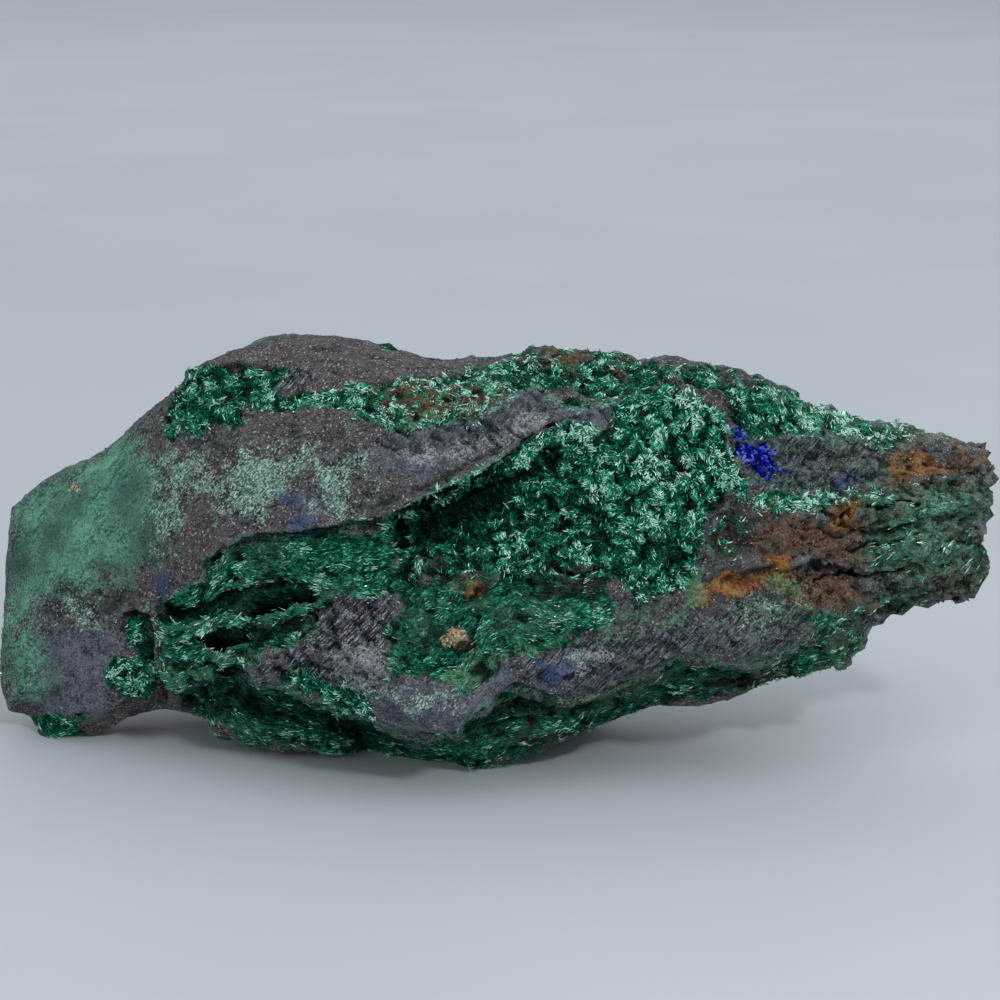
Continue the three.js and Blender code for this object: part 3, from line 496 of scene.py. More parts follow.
def facets(points, size, seed=1):
    """The height of flat faces that meet at edges, one to a cell, and how near the cell's middle is."""
    q = points / size
    cell = np.floor(q)
    nearest = np.full(len(points), np.inf)
    height = np.zeros(len(points))
    for step in np.ndindex(3, 3, 3):
        at = cell + np.array(step) - 1
        chance = hashed(at, seed)
        away = q - (at + 0.5 + 0.45 * chance)
        distance = (away * away).sum(axis=1)
        tilt = unit(chance[:, [1, 2, 0]])
        closer = distance < nearest
        nearest = np.where(closer, distance, nearest)
        height = np.where(closer, (away * tilt).sum(axis=1) + 0.4 * chance[:, 0], height)
    return height, 1 - np.sqrt(nearest)


# ---- What lies where on the specimen ----


def show_side(points):
    """The share of each mineral on the side that faces the eye."""
    x, v = seen_from_eye(points)
    ragged = 1.1 * lumps(points, 5, 3) + 0.6 * lumps(points, 1.7, 4)
    found = {}
    for name, outlines in PATCHES.items():
        wander, softness = EDGES[name]
        found[name] = smooth(depth_in_any(outlines, x, v) + wander * ragged, -softness, softness)
    found["dust"] *= 1 - 0.4 * smooth(x, -26, -18)  # both thin out to the right
    found["film"] *= 1 - 0.5 * smooth(x, 0, 10)
    return found


def hidden_side(points):
    """The share of each mineral on the sides, the back and below. The beds carry on through the rock."""
    beds = lumps(points, (60, 60, 11), 21) + 0.35 * lumps(points, 9, 22)
    patch = layered(points, 26, 3, 23)
    left, right = smooth(-points[:, 0], 55, 85), smooth(points[:, 0], 40, 90)
    found = dict.fromkeys(PATCHES, np.zeros(len(points)))  # bare rock, slots and hollows stay at 0
    found["fibres"] = smooth(beds, 0.12, 0.34)
    found["needles"] = smooth(patch - 0.4 * beds, 0.34, 0.5)
    found["lime"] = smooth(beds, 0.06, 0.14) * (1 - smooth(beds, 0.14, 0.24)) * smooth(patch, -0.1, 0.2)
    for name, (size, layers, seed, at_left, at_right, begins, full) in HIDDEN_PATCHES.items():
        noise = layered(points, size, layers, seed) + at_left * left + at_right * right
        found[name] = smooth(noise, begins, full)
    return found


def minerals(points, normals):
    """The share of each mineral at each point, and how far the point faces the eye."""
    front = facing_eye(points, normals)
    shown, hidden = show_side(points), hidden_side(points)
    return {name: front * shown[name] + (1 - front) * hidden[name] for name in PATCHES}, front


def bed_position(points, front):
    """Height in the pile of beds, all round the rock."""
    x, v = seen_from_eye(points)
    return front * bed_height(x, v) + (1 - front) * (points[:, 2] - HIDDEN_DIP * points[:, 0])


# ---- Shaping ----


def only(*pieces):
    """Selects these objects and nothing else."""
    bpy.ops.object.select_all(action="DESELECT")
    for piece in pieces:
        piece.select_set(True)
    bpy.context.view_layer.objects.active = pieces[0]


def apply_modifier(piece, kind, **settings):
    only(piece)
    modifier = piece.modifiers.new(kind.title(), kind)
    for name, value in settings.items():
        setattr(modifier, name, value)
    bpy.ops.object.modifier_apply(modifier=modifier.name)


def edit(piece):
    """Opens a piece for editing by faces, with all of it selected."""
    only(piece)
    bpy.ops.object.mode_set(mode="EDIT")
    bpy.ops.mesh.select_mode(type="FACE")
    bpy.ops.mesh.select_all(action="SELECT")


def done_editing():
    bpy.ops.object.mode_set(mode="OBJECT")


def copied(node, name):
    """A new piece with a merged copy of a CAD node's mesh."""
    piece = bpy.data.objects.new(name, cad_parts[node].data.copy())
    bpy.context.collection.objects.link(piece)
    piece.data.materials.clear()
    edit(piece)
    bpy.ops.mesh.remove_doubles(threshold=0.01 * MM)
    done_editing()
    return piece


def read(items, name, width, kind=np.float32):
    """One property of all items of a mesh, as rows of width numbers."""
    flat = np.empty(width * len(items), kind)
    items.foreach_get(name, flat)
    return flat.reshape(-1, width)


def corners(mesh):
    """The mesh's vertices, in millimetres."""
    return read(mesh.vertices, "co", 3).astype(float) / MM


def move_corners(mesh, points):
    mesh.vertices.foreach_set("co", (points * MM).astype(np.float32).ravel())
    mesh.update()


def corner_normals(mesh):
    return read(mesh.vertex_normals, "vector", 3).astype(float)


def edge_ends(mesh):
    return read(mesh.edges, "vertices", 2, np.int32)


def neighbour_mean(ends, values):
    """The mean of the values at the far ends of each vertex's edges."""
    a, b = ends.T
    size = len(values)
    count = np.maximum(np.bincount(a, minlength=size) + np.bincount(b, minlength=size), 1)
    total = np.zeros_like(values)
    for column in np.ndindex(values.shape[1:]):
        pick = (slice(None),) + column
        total[pick] = np.bincount(a, values[b][pick], size) + np.bincount(b, values[a][pick], size)
    return total / count.reshape((-1,) + (1,) * (values.ndim - 1))


def even_normals(mesh, ends):
    """The vertices' normals, evened out over their neighbours."""
    normals = corner_normals(mesh)
    for _ in range(2):
        normals = unit(neighbour_mean(ends, normals))
    return normals


def relaxed(ends, points, share, rounds):
    """The points smoothed again and again, where share is above 0."""
    ends = ends[(share[ends] > 0).all(axis=1)]
    used, near = np.unique(ends, return_inverse=True)
    near = near.reshape(-1, 2)
    moved = points[used]
    for _ in range(rounds):
        moved += share[used, None] * (neighbour_mean(near, moved) - moved)
    points = points.copy()
    points[used] = moved
    return points


def store(mesh, name, values):
    attribute = mesh.attributes.new(name, "FLOAT", "POINT")
    attribute.data.foreach_set("value", values.astype(np.float32))


def ridges(mesh, reach, full):
    """-1 in the bottom of pits and 1 on ridges, for forms a few times as wide as reach steps of the mesh."""
    ends = edge_ends(mesh)
    points = smoothed = corners(mesh)
    for _ in range(reach):
        smoothed = neighbour_mean(ends, smoothed)
    return np.clip(((points - smoothed) * corner_normals(mesh)).sum(axis=1) / full, -1, 1)


# ---- The rock ----


def relief(points, found, front):
    """How far each point of the rock stands proud of its smooth form, and how much painted shade it gets in
    slots, hollows, fissures and holes.
    """
    x, z = points[:, 0], points[:, 2]
    crumbly = smooth(x, 48, 62)  # the right end, with its ledges and blocks
    crest = smooth(z, 64, 72) * smooth(x, 0, 14)
    warp = 1.2 * lumps(points, 7, 5) + 2.4 * crumbly * lumps(points, (13, 13, 9), 36)
    along = np.stack([x, points[:, 1], bed_position(points, front) + warp], axis=1)  # for noise in the beds
    rough = 0.5 * lumps(points, 8, 6) + 0.3 * lumps(points, 3.2, 7) + 0.16 * lumps(points, 1.4, 8)
    strands = (
        0.75 * np.tanh(2.2 * lumps(along, (16, 16, 1.9), 9)) + 0.4 * lumps(along, (5, 5, 0.9), 10)
        + 0.25 * lumps(points, 2.2, 11)
    )
    ledges = np.tanh(3 * lumps(along, (22, 22, 4.2), 31))
    fissure = 1 - smooth(np.abs(lumps(along, (12, 12, 2.6), 33)), 0.01, 0.07)
    fissure *= smooth(lumps(points, 9, 34), -0.1, 0.2)
    scored = points @ SCRATCH_TURN
    folds = 1 - 2 * np.abs(lumps(scored, (7, 1.7, 7), 18))
    chips, _ = facets(scored * (1, 1.6, 1), 3.2, 12)
    blocks, _ = facets(scored * (1, 1.5, 1), 6, 37)
    crumbs, _ = facets(points, 2.2, 40)
    _, clumps = facets(points, 3, 13)
    _, knobs = facets(points + 0.8 * warp[:, None], 5, 19)
    pits = smooth(lumps(points, 2.2, 14), 0.42, 0.7)
    greens = np.maximum(found["needles"], found["fibres"] * (1 - crumbly))
    hole = greens * smooth(lumps(points, 3.2, 39), 0.2, 0.5) * (1 - found["slot"])

    calm = 1 - 0.6 * found["film"]
    proud = calm * (0.8 * rough - 0.4 * pits + 0.6 * (knobs - 0.4)) + 0.7 * lumps(points, 14, 20)
    proud += (
        crumbly * (0.5 * ledges + 0.3 * strands + 0.9 * blocks + 0.5 * crumbs) + crest * 1.5 * (knobs - 0.3)
    )
    proud -= (0.2 + 0.8 * crumbly) * (1 - found["film"]) * fissure
    proud += found["fibres"] * ((0.95 - 0.5 * crumbly) * strands - 0.25)
    proud += found["needles"] * (0.7 * clumps - 0.7 + 0.7 * folds) + 1.3 * greens * lumps(points, 6, 15)
    proud += found["steel"] * (1.2 * (chips - 0.1) + 0.8 * folds) * (1 - 0.6 * smooth(x, 0, 8))
    proud -= 0.9 * hole
    proud += (found["rust"] + found["brown"]) * 0.5 * (strands + 0.4 * chips)
    proud -= SLOT_DEPTH * found["slot"] + HOLLOW_DEPTH * found["hollow"]
    # painted shade: how dark the slots, hollows, fissures and holes are painted
    sunk = np.maximum.reduce([found["slot"], 0.5 * found["hollow"], 0.45 * crumbly * fissure, 0.5 * hole])
    return proud, sunk


def swells_and_cracks(points, front, proud, sunk):
    """Adds the show face's own lumps and cracks to its relief, and paints shade into the cracks."""
    x, v = seen_from_eye(points)
    for at_x, at_v, half_width, half_height, rise in SWELLS:
        away = np.hypot((x - at_x) / half_width, (v - at_v) / half_height)
        proud += front * rise * (1 - smooth(away, 0.1, 1.1))
    ragged_x, ragged_v = x + 0.5 * lumps(points, 2, 16), v + 0.5 * lumps(points, 2, 17)
    for line, depth in CRACKS:
        gash = front * (1 - smooth(distance_to_line(line, ragged_x, ragged_v), 0.1, 0.5))
        proud -= depth * gash
        # painted shade along the cracks
        sunk = np.maximum(sunk, gash)
    return proud, np.clip(sunk, 0, 1)


def worn_step(points, front):
    """1 where the left block's step is worn round."""
    x, v = seen_from_eye(points)
    return front * (1 - smooth(distance_to_line(STEP, x, v), 5, 11)) * smooth(v, 33, 41)


def lip_drop(points):
    """How far each point moves down to bring the shoulder's lip over its hollow."""
    x, v = seen_from_eye(points)
    _, depth = on_face(points)
    above = v - np.interp(x, *zip(*LIP_LINE))
    middle, half_width = LIP_MIDDLE
    share = (1 - smooth(above, 0, 9)) * (1 - smooth(-above, 0.5, 7))
    share *= 1 - smooth(np.abs(x - middle), 0.25 * half_width, half_width)
    return LIP_DROP * share * (1 - smooth(depth, 30, 50))


def joined_rock():
    """The ironstone and the roots of its crusts, as one closed mesh of even triangles."""
    rock = copied("ironstone_rock", "ironstone_body")
    crusts = [copied(node, node + "_roots") for node in ("malachite_hollow_crust", "malachite_pocket_crust")]
    for crust in crusts:
        move_corners(crust.data, corners(crust.data) + face_move(0, CRUST_SINK))
    only(rock, *crusts)
    bpy.ops.object.join()
    apply_modifier(rock, "REMESH", mode="VOXEL", voxel_size=ROCK_GRAIN * MM, adaptivity=0)
    return rock


def settle_form(mesh, ends):
    """Wears the step round, draws the shoulder's lip down and brings its lower edge forward."""
    points = corners(mesh)
    front = facing_eye(points, even_normals(mesh, ends))
    points = relaxed(ends, points, worn_step(points, front), STEP_ROUNDING)
    points -= lip_drop(points)[:, None] * face_move(1, 0)
    x, v = seen_from_eye(points)
    band = front * (1 - smooth(distance_to_line(SHOULDER_BAND, x, v), 0.5, 3.2))
    points += BAND_RISE * band[:, None] * unit(face_to_part(*EYE) - points)
    move_corners(mesh, points)
    return points


def store_minerals(mesh, points, found, front, sunk, edges):
    """Keeps what the finish reads: each mineral's share, the painted shade of slots, hollows and cracks, the
    pale rims and the beds.
    """
    x, v = seen_from_eye(points)
    band = 1 - smooth(distance_to_line(SHOULDER_BAND, x, v) + 0.6 * lumps(points, 3, 38), 0.6, 1.6)
    found["needles"] = np.maximum(found["needles"], front * band)
    rims = [distance_to_line(line, x, v) for line in (SHOULDER_RIM, LOWER_RIM, STEP_RIM, CREST_EDGE)]
    rims = np.min(rims, axis=0)
    lip = front * (1 - smooth(rims, 0.2, 1.3)) * (0.6 + 0.4 * edges) * (1 - found["slot"])
    for name, values in {**found, "sunk": sunk, "lip": lip, "bed": bed_position(points, front)}.items():
        store(mesh, name, values)


def keep_above_floor(points, height=0):
    """Lifts what lies lower than this above the resting plane."""
    points[..., 2] = np.maximum(points[..., 2], height)
    return points


def thin_out(rock, front):
    """Brings the rock down to its number of triangles, mostly on the sides that the eye doesn't see."""
    far_side = rock.vertex_groups.new(name="far_side")
    hidden = np.round(1 - 0.9 * front, 1)
    for level in np.unique(hidden):
        far_side.add(np.nonzero(hidden == level)[0].tolist(), float(level), "REPLACE")
    ratio = ROCK_TRIANGLES / sum(len(face.vertices) - 2 for face in rock.data.polygons)
    apply_modifier(rock, "DECIMATE", ratio=ratio, vertex_group="far_side", vertex_group_factor=1)
    move_corners(rock.data, keep_above_floor(corners(rock.data)))


def sculpt_rock():
    """The ironstone with the roots of its crusts, as one closed mesh with all its relief."""
    rock = joined_rock()
    mesh = rock.data
    ends = edge_ends(mesh)
    edges = smooth(ridges(mesh, 3, 1), 0.08, 0.3)
    points = settle_form(mesh, ends)
    normals = even_normals(mesh, ends)
    found, front = minerals(points, normals)
    proud, sunk = swells_and_cracks(points, front, *relief(points, found, front))
    resting = 1 - smooth(points[:, 2], *FOOT_HEIGHTS)
    points = keep_above_floor(points + normals * (proud * (1 - resting))[:, None])
    move_corners(mesh, points)
    store_minerals(mesh, points, found, front, sunk, edges)
    thin_out(rock, front)
    only(rock)
    bpy.ops.object.shade_smooth()
    store(rock.data, "ridge", 0.5 + 0.5 * ridges(rock.data, 8, 0.5))
    return rock


# ---- Crystals ----


def crystal_model(sides, flatness, shoulder, root):
    """One crystal of unit length and width: flat sides, a point above its shoulder and a root below zero."""
    bpy.ops.object.select_all(action="DESELECT")
    bpy.ops.mesh.primitive_cone_add(vertices=sides, radius1=1, radius2=0, depth=1 - shoulder,
                                    location=(0, 0, (1 + shoulder) / 2))
    model = bpy.context.object
    only(model)
    bpy.ops.object.transform_apply(location=True, rotation=False, scale=False)
    edit(model)
    bpy.ops.mesh.select_all(action="DESELECT")
    done_editing()
    for face in model.data.polygons:
        face.select = face.normal.z < -0.9  # the base, which is drawn out into the sides
    bpy.ops.object.mode_set(mode="EDIT")
    bpy.ops.mesh.extrude_region_move(TRANSFORM_OT_translate={"value": (0, 0, -shoulder - root)})
    if root:
        bpy.ops.mesh.merge(type="CENTER")
    bpy.ops.mesh.select_all(action="SELECT")
    bpy.ops.transform.resize(value=(1, flatness, 1), center_override=(0, 0, 0))
    bpy.ops.mesh.quads_convert_to_tris()
    bpy.ops.mesh.normals_make_consistent(inside=False)
    done_editing()
    places = np.array([vertex.co for vertex in model.data.vertices])
    faces = np.array([face.vertices for face in model.data.polygons])
    bpy.data.objects.remove(model)
    return places, faces


def triangle_mesh(name, points, triangles):
    """A mesh with these corners, in millimetres, and these triangles between them."""
    mesh = bpy.data.meshes.new(name)
    mesh.vertices.add(len(points))
    mesh.loops.add(3 * len(triangles))
    mesh.polygons.add(len(triangles))
    mesh.loops.foreach_set("vertex_index", triangles.astype(np.int32).ravel())
    mesh.polygons.foreach_set("loop_start", np.arange(0, 3 * len(triangles), 3, dtype=np.int32))
    move_corners(mesh, points)
    return mesh


def stamp(name, model, sprays, widths, chance):
    """A piece with a copy of the model at each root, turned along its axis. Each copy has its own tint."""
    places, faces = model
    roots, axes, lengths, tints = sprays
    spins = chance.uniform(0, 2 * math.pi, len(roots))
    side = np.where(np.abs(axes[:, 2:]) < 0.9, [[0.0, 0.0, 1.0]], [[1.0, 0.0, 0.0]])
    across = unit(np.cross(side, axes))
    turned = across * np.cos(spins)[:, None] + np.cross(axes, across) * np.sin(spins)[:, None]
    third = np.cross(axes, turned)
    points = (
        roots[:, None]
        + (widths[:, None] * places[:, 0])[..., None] * turned[:, None]
        + (widths[:, None] * places[:, 1])[..., None] * third[:, None]
        + (lengths[:, None] * places[:, 2])[..., None] * axes[:, None]
    )
    points = keep_above_floor(points, CRYSTAL_GAP).reshape(-1, 3)
    triangles = (faces[None] + (np.arange(len(roots)) * len(places))[:, None, None]).reshape(-1, 3)
    mesh = triangle_mesh(name, points, triangles)
    store(mesh, "tint", np.repeat(tints, len(places)))
    mesh.update(calc_edges=True)
    piece = bpy.data.objects.new(name, mesh)
    bpy.context.collection.objects.link(piece)
    only(piece)
    bpy.ops.object.shade_flat()
    return piece


class Ground:
    """The rock's surface, as triangles to stand crystals on."""

    def __init__(self, rock):
        mesh = rock.data
        mesh.calc_loop_triangles()
        self.trios = read(mesh.loop_triangles, "vertices", 3, np.int32)
        self.points = corners(mesh)
        self.normals = corner_normals(mesh)
        self.share, self.front = minerals(self.points, self.normals)
        self.x, self.v = seen_from_eye(self.points)
        shades = (read(mesh.attributes[name].data, "value", 1) for name in ("ridge", "sunk"))
        ridge, sunk = (values[:, 0].astype(float) for values in shades)
        # Painted light and shade for the crystals: brighter on ridges, darker in pits, and darker still in
        # slots, hollows and cracks.
        self.shade = ridge * 1.1 - 0.55 - 0.9 * sunk
        a, b, c = (self.points[self.trios[:, i]] for i in range(3))
        self.areas = 0.5 * np.linalg.norm(np.cross(b - a, c - a), axis=1)

    def near(self, line, full, gone):
        """1 on a line of the show face, and 0 away from it."""
        return 1 - smooth(distance_to_line(line, self.x, self.v), full, gone)

    def within(self, outlines, begins, full):
        """1 inside the outlines on the show face, and 0 outside."""
        return smooth(depth_in_any(outlines, self.x, self.v), begins, full)

    def scatter(self, count, weight, seed):
        """Places, normals and painted light and shade of count spots, most of them where weight, given by
        vertex, is high.
        """
        chance = np.random.default_rng(seed)
        share = self.areas * weight[self.trios].mean(axis=1)
        picks = chance.choice(len(share), count, p=share / share.sum())
        a, b = chance.random((2, count))
        over = a + b > 1
        a[over], b[over] = 1 - a[over], 1 - b[over]
        shares = np.stack([1 - a - b, a, b], axis=1)[..., None]
        trios = self.trios[picks]
        shade = (self.shade[trios] * shares[..., 0]).sum(axis=1)
        normals = unit((self.normals[trios] * shares).sum(axis=1))
        return (self.points[trios] * shares).sum(axis=1), normals, shade


def bed_direction(points, front):
    """The direction in which the beds run, as a vector at each point."""
    x, v = seen_from_eye(points)
    slope = -(bed_height(x + 1, v) - bed_height(x - 1, v)) / np.maximum(
        np.abs(bed_height(x, v + 1) - bed_height(x, v - 1)), 0.5)
    shown = unit(np.array([1.0, 0, 0]) + np.clip(slope, -1.2, 1.2)[:, None] * face_move(1, 0))
    return unit(front[:, None] * shown + (1 - front)[:, None] * np.array([0.99, 0, HIDDEN_DIP]))


def fans(ground, weight, count, each, sizes, seed, rise=(0.02, 0.35), along=0, apart=0.32):
    """Roots, directions, lengths and tints of crystals that lie on the ground in fans.

    count is the number of fans and each that of the crystals in a fan. sizes are the least and the greatest
    length, rise is how steeply crystals may leave the ground, along how far they keep to the beds and apart
    how far from each other they are rooted.
    """
    chance = np.random.default_rng(seed)
    centres, normals, shade = ground.scatter(count, weight, seed)
    flow = np.stack([lumps(centres, 2.4, 92 + axis) for axis in range(3)], axis=1)  # neighbours lie alike
    middle = unit(np.cross(normals, flow + 0.25 * chance.normal(size=(count, 3))))
    if along:
        beds = bed_direction(centres, facing_eye(centres, normals)) * chance.choice([-1, 1], (count, 1))
        beds -= (beds * normals).sum(axis=1, keepdims=True) * normals
        middle = unit((1 - along) * middle + along * beds)
    # painted glints: clusters where fans and single crystals are made brighter
    painted_glints = smooth(lumps(centres, 2, 95) + 0.5 * lumps(centres, 7, 96), 0.05, 0.5)
    # shade brings the ground's painted light and shade into each fan
    brightness = 0.05 + 0.5 * chance.random(count) ** 3 + 0.9 * shade
    brightness = brightness + 0.5 * lumps(centres, 7, 91) + 0.3 * lumps(centres, 3, 97)
    brightness += 0.4 * painted_glints * (chance.random(count) > 0.6)

    total = count * each
    normals, middle = np.repeat(normals, each, axis=0), np.repeat(middle, each, axis=0)
    aside = np.cross(normals, middle)
    turn = FAN_SPLAY * chance.normal(size=(total, 1))
    axes = np.cos(turn) * middle + np.sin(turn) * aside
    roots = np.repeat(centres, each, axis=0) + apart * chance.normal(size=(total, 1)) * middle
    roots += apart * chance.normal(size=(total, 1)) * aside - ROOT_SINK * normals
    lift = np.repeat(chance.uniform(*rise, (count, 1)), each, axis=0) * chance.uniform(0.7, 1.3, (total, 1))
    axes = unit(axes + lift * normals)
    lengths = chance.uniform(*sizes, total) * np.repeat(chance.uniform(0.75, 1.2, count), each)
    tints = np.repeat(brightness, each) + 0.8 * chance.random(total) ** 3
    tints += 0.6 * np.repeat(painted_glints, each) * (chance.random(total) > 0.75)
    return roots, axes, lengths, 1.3 * tints - 0.14


def bright_lines(ground):
    """The green edge of the shoulder and the seam at the right, whose crystals stand out."""
    rim = ground.near(SHOULDER_BAND, 0.8, 1.8) * ground.front * smooth(ground.x, -21, -13)
    seam = ground.near(SEAM, 0.8, 2.4) * ground.front
    return rim, seam


def crystal_zones(ground, rim, seam):
    """How thickly each kind of crystal grows at each point of the ground."""
    share, front, x, v = ground.share, ground.front, ground.x, ground.v
    needles, fibres = share["needles"], share["fibres"]
    # Nothing green grows on rust, tan and bare rock or in the slots, and less in the hollows.
    clear = (1 - share["rust"]) * (1 - share["tan"]) * (1 - share["slot"]) * (1 - share["bare"])
    clear *= 1 - 0.2 * share["hollow"]
    for outline in PATCHES["slot"]:
        clear *= 1 - front * ground.within([outline], -SLOT_MARGIN - 0.3, -SLOT_MARGIN + 0.3)
    pocket = smooth(-x, 40, 44) * smooth(v, 64, 66)  # below the crest, at the left
    boss = np.maximum(needles * (1 - pocket) * front * (1 - 0.65 * share["brown"]), 0.8 * rim) * clear
    beds = fibres * front * (1 - needles) * (1 - 0.85 * share["brown"]) * clear
    rock = (1 - np.maximum(needles, fibres)) * (1 - 0.9 * share["film"]) * (1 - share["slot"])
    fringe = front * ground.within([FRINGE], -0.5, 1.5)
    return {
        "boss": np.maximum.reduce([boss, 0.7 * seam * clear, 0.3 * fringe]),
        "pocket": needles * front * pocket * clear,
        "beds": beds * (1 - 0.75 * smooth(x, 62, 76)),
        "hidden": np.maximum(needles, fibres) * (1 - front) * clear,
        "rock": rock * (0.25 + front) * (1 - share["dust"]) * (1 - 0.6 * share["brown"]),
        "dust": share["dust"] * (0.2 + front),
        "azurite": ground.within(AZURITE_OUTLINES, -0.3, 0.4) * front,
    }


def shade_crystals(ground, rim, seam):
    """Brightens the crystals on the crest, the shoulder's rim and the seam, and darkens them in the hollow
    and a little left of the middle. On the rim the brightening is painted light, and in the hollow the
    darkening is painted shade.
    """
    share, front, x, v = ground.share, ground.front, ground.x, ground.v
    band = smooth(v, 68, 71) * smooth(-x, -10, -4) * smooth(x, -44, -38)  # the crest's middle
    # painted light on the shoulder's rim, whose underside lies in shade
    ground.shade += 0.3 * band + 0.12 * smooth(x, 18, 24) * smooth(v, 44, 52) + 0.6 * rim
    # painted shade: crystals in the hollow are darkened
    ground.shade -= 0.2 * share["hollow"] * (1 - rim)
    ground.shade += 0.12 * share["fibres"] * front
    ground.shade += 0.25 * seam + 0.2 * smooth(x, 42, 52) * smooth(v, 62, 66)
    ground.shade -= 0.2 * smooth(-x, -14, 0) * smooth(x, -24, -18) * front * (1 - band)


# ---- Finishes ----


def srgb(red, green, blue):
    """A colour given in steps from 0 to 255."""
    shares = [step / 255 for step in (red, green, blue)]
    return [c / 12.92 if c < 0.04045 else ((c + 0.055) / 1.055) ** 2.4 for c in shares] + [1]


class Wire:
    """A socket in a finish. Arithmetic on it adds the nodes that work it out."""

    def __init__(self, tree, socket):
        self.tree = tree
        self.socket = socket

    def node(self, kind, settings, sockets, output=0):
        """Adds a node: its settings first, then the values or links of its sockets."""
        made = self.tree.nodes.new("ShaderNode" + kind)
        for name, value in settings.items():
            setattr(made, name, value)
        for name, value in sockets.items():
            if isinstance(value, Wire):
                self.tree.links.new(value.socket, made.inputs[name])
            else:
                made.inputs[name].default_value = value
        return Wire(self.tree, made.outputs[output])

    def math(self, operation, *values):
        return self.node("Math", {"operation": operation}, dict(enumerate(values)))

    def vector(self, operation, *others, **named):
        sockets = {**dict(enumerate((self, *others))), **named}
        return self.node("VectorMath", {"operation": operation}, sockets)

    def __add__(self, other):
        return self.math("ADD", self, other)

    def __sub__(self, other):
        return self.math("SUBTRACT", self, other)

    def __rsub__(self, other):
        return self.math("SUBTRACT", other, self)

    def __mul__(self, other):
        return self.math("MULTIPLY", self, other)

    __radd__ = __add__
    __rmul__ = __mul__

    def ease(self, low, high):
        """0 at low, 1 at high, and an easy curve between them."""
        sockets = {"Value": self, "From Min": low, "From Max": high}
        return self.node("MapRange", {"interpolation_type": "SMOOTHSTEP"}, sockets)

    def mix(self, under, over):
        """The colour under where this is 0, and over where it is 1. Each is a wire, or steps up to 255."""
        under, over = (srgb(*colour) if isinstance(colour, tuple) else colour for colour in (under, over))
        return self.node("Mix", {"data_type": "RGBA"}, {0: self, 6: under, 7: over}, 2)

    def into(self, shader, name):
        self.tree.links.new(self.socket, shader.inputs[name])


def new_finish(name):
    """A material, its shader, and the place on the piece in millimetres."""
    material = bpy.data.materials.new(name)
    material.use_nodes = True
    shader = material.node_tree.nodes["Principled BSDF"]
    wire = Wire(material.node_tree, shader.outputs["BSDF"])
    return material, shader, wire.node("TexCoord", {}, {}, "Object").vector("SCALE", Scale=1 / MM)


def blotch(place, size, layers=3, rough=0.6, warp=0):
    """Soft blotches from 0 to 1, of about this size in millimetres."""
    sockets = {"Vector": place, "Scale": 1 / size, "Detail": layers, "Roughness": rough, "Distortion": warp}
    return place.node("TexNoise", {}, sockets)


def colour_by_cell(place, size):
    """Three numbers from 0 to 1 that are the same all over one grain."""
    return place.node("TexVoronoi", {}, {"Vector": place, "Scale": 1 / size}, "Color")


def chance_by_cell(place, size):
    return place.node("SeparateColor", {}, {0: colour_by_cell(place, size)})


def attribute(place, name):
    return place.node("Attribute", {"attribute_name": name}, {}, "Fac")


def bumped(place, strength, distance, height, **normal):
    """The normal over a surface that rises by distance, in millimetres, where height is 1."""
    sockets = {"Strength": strength, "Distance": distance * MM, "Height": height, **normal}
    return place.node("Bump", {}, sockets)


def matted(place, cell, size):
    """Noise like a mat of short needles: each cell of the place has streaks that run its own way."""
    turn = colour_by_cell(place, cell).vector("SCALE", Scale=2 * math.pi)
    turned = place.node("VectorRotate", {"rotation_type": "EULER_XYZ"}, {"Vector": place, "Rotation": turn})
    return blotch(turned.vector("MULTIPLY", (0.22, 1, 1)), size, 2, 0.55)


def faceted(place, size, tilt):
    """A normal that leans another way on each grain, so that single grains glint."""
    lean = colour_by_cell(place, size).vector("SUBTRACT", (0.5, 0.5, 0.5)).vector("SCALE", Scale=tilt)
    return place.node("NewGeometry", {}, {}, "Normal").vector("ADD", lean).vector("NORMALIZE")


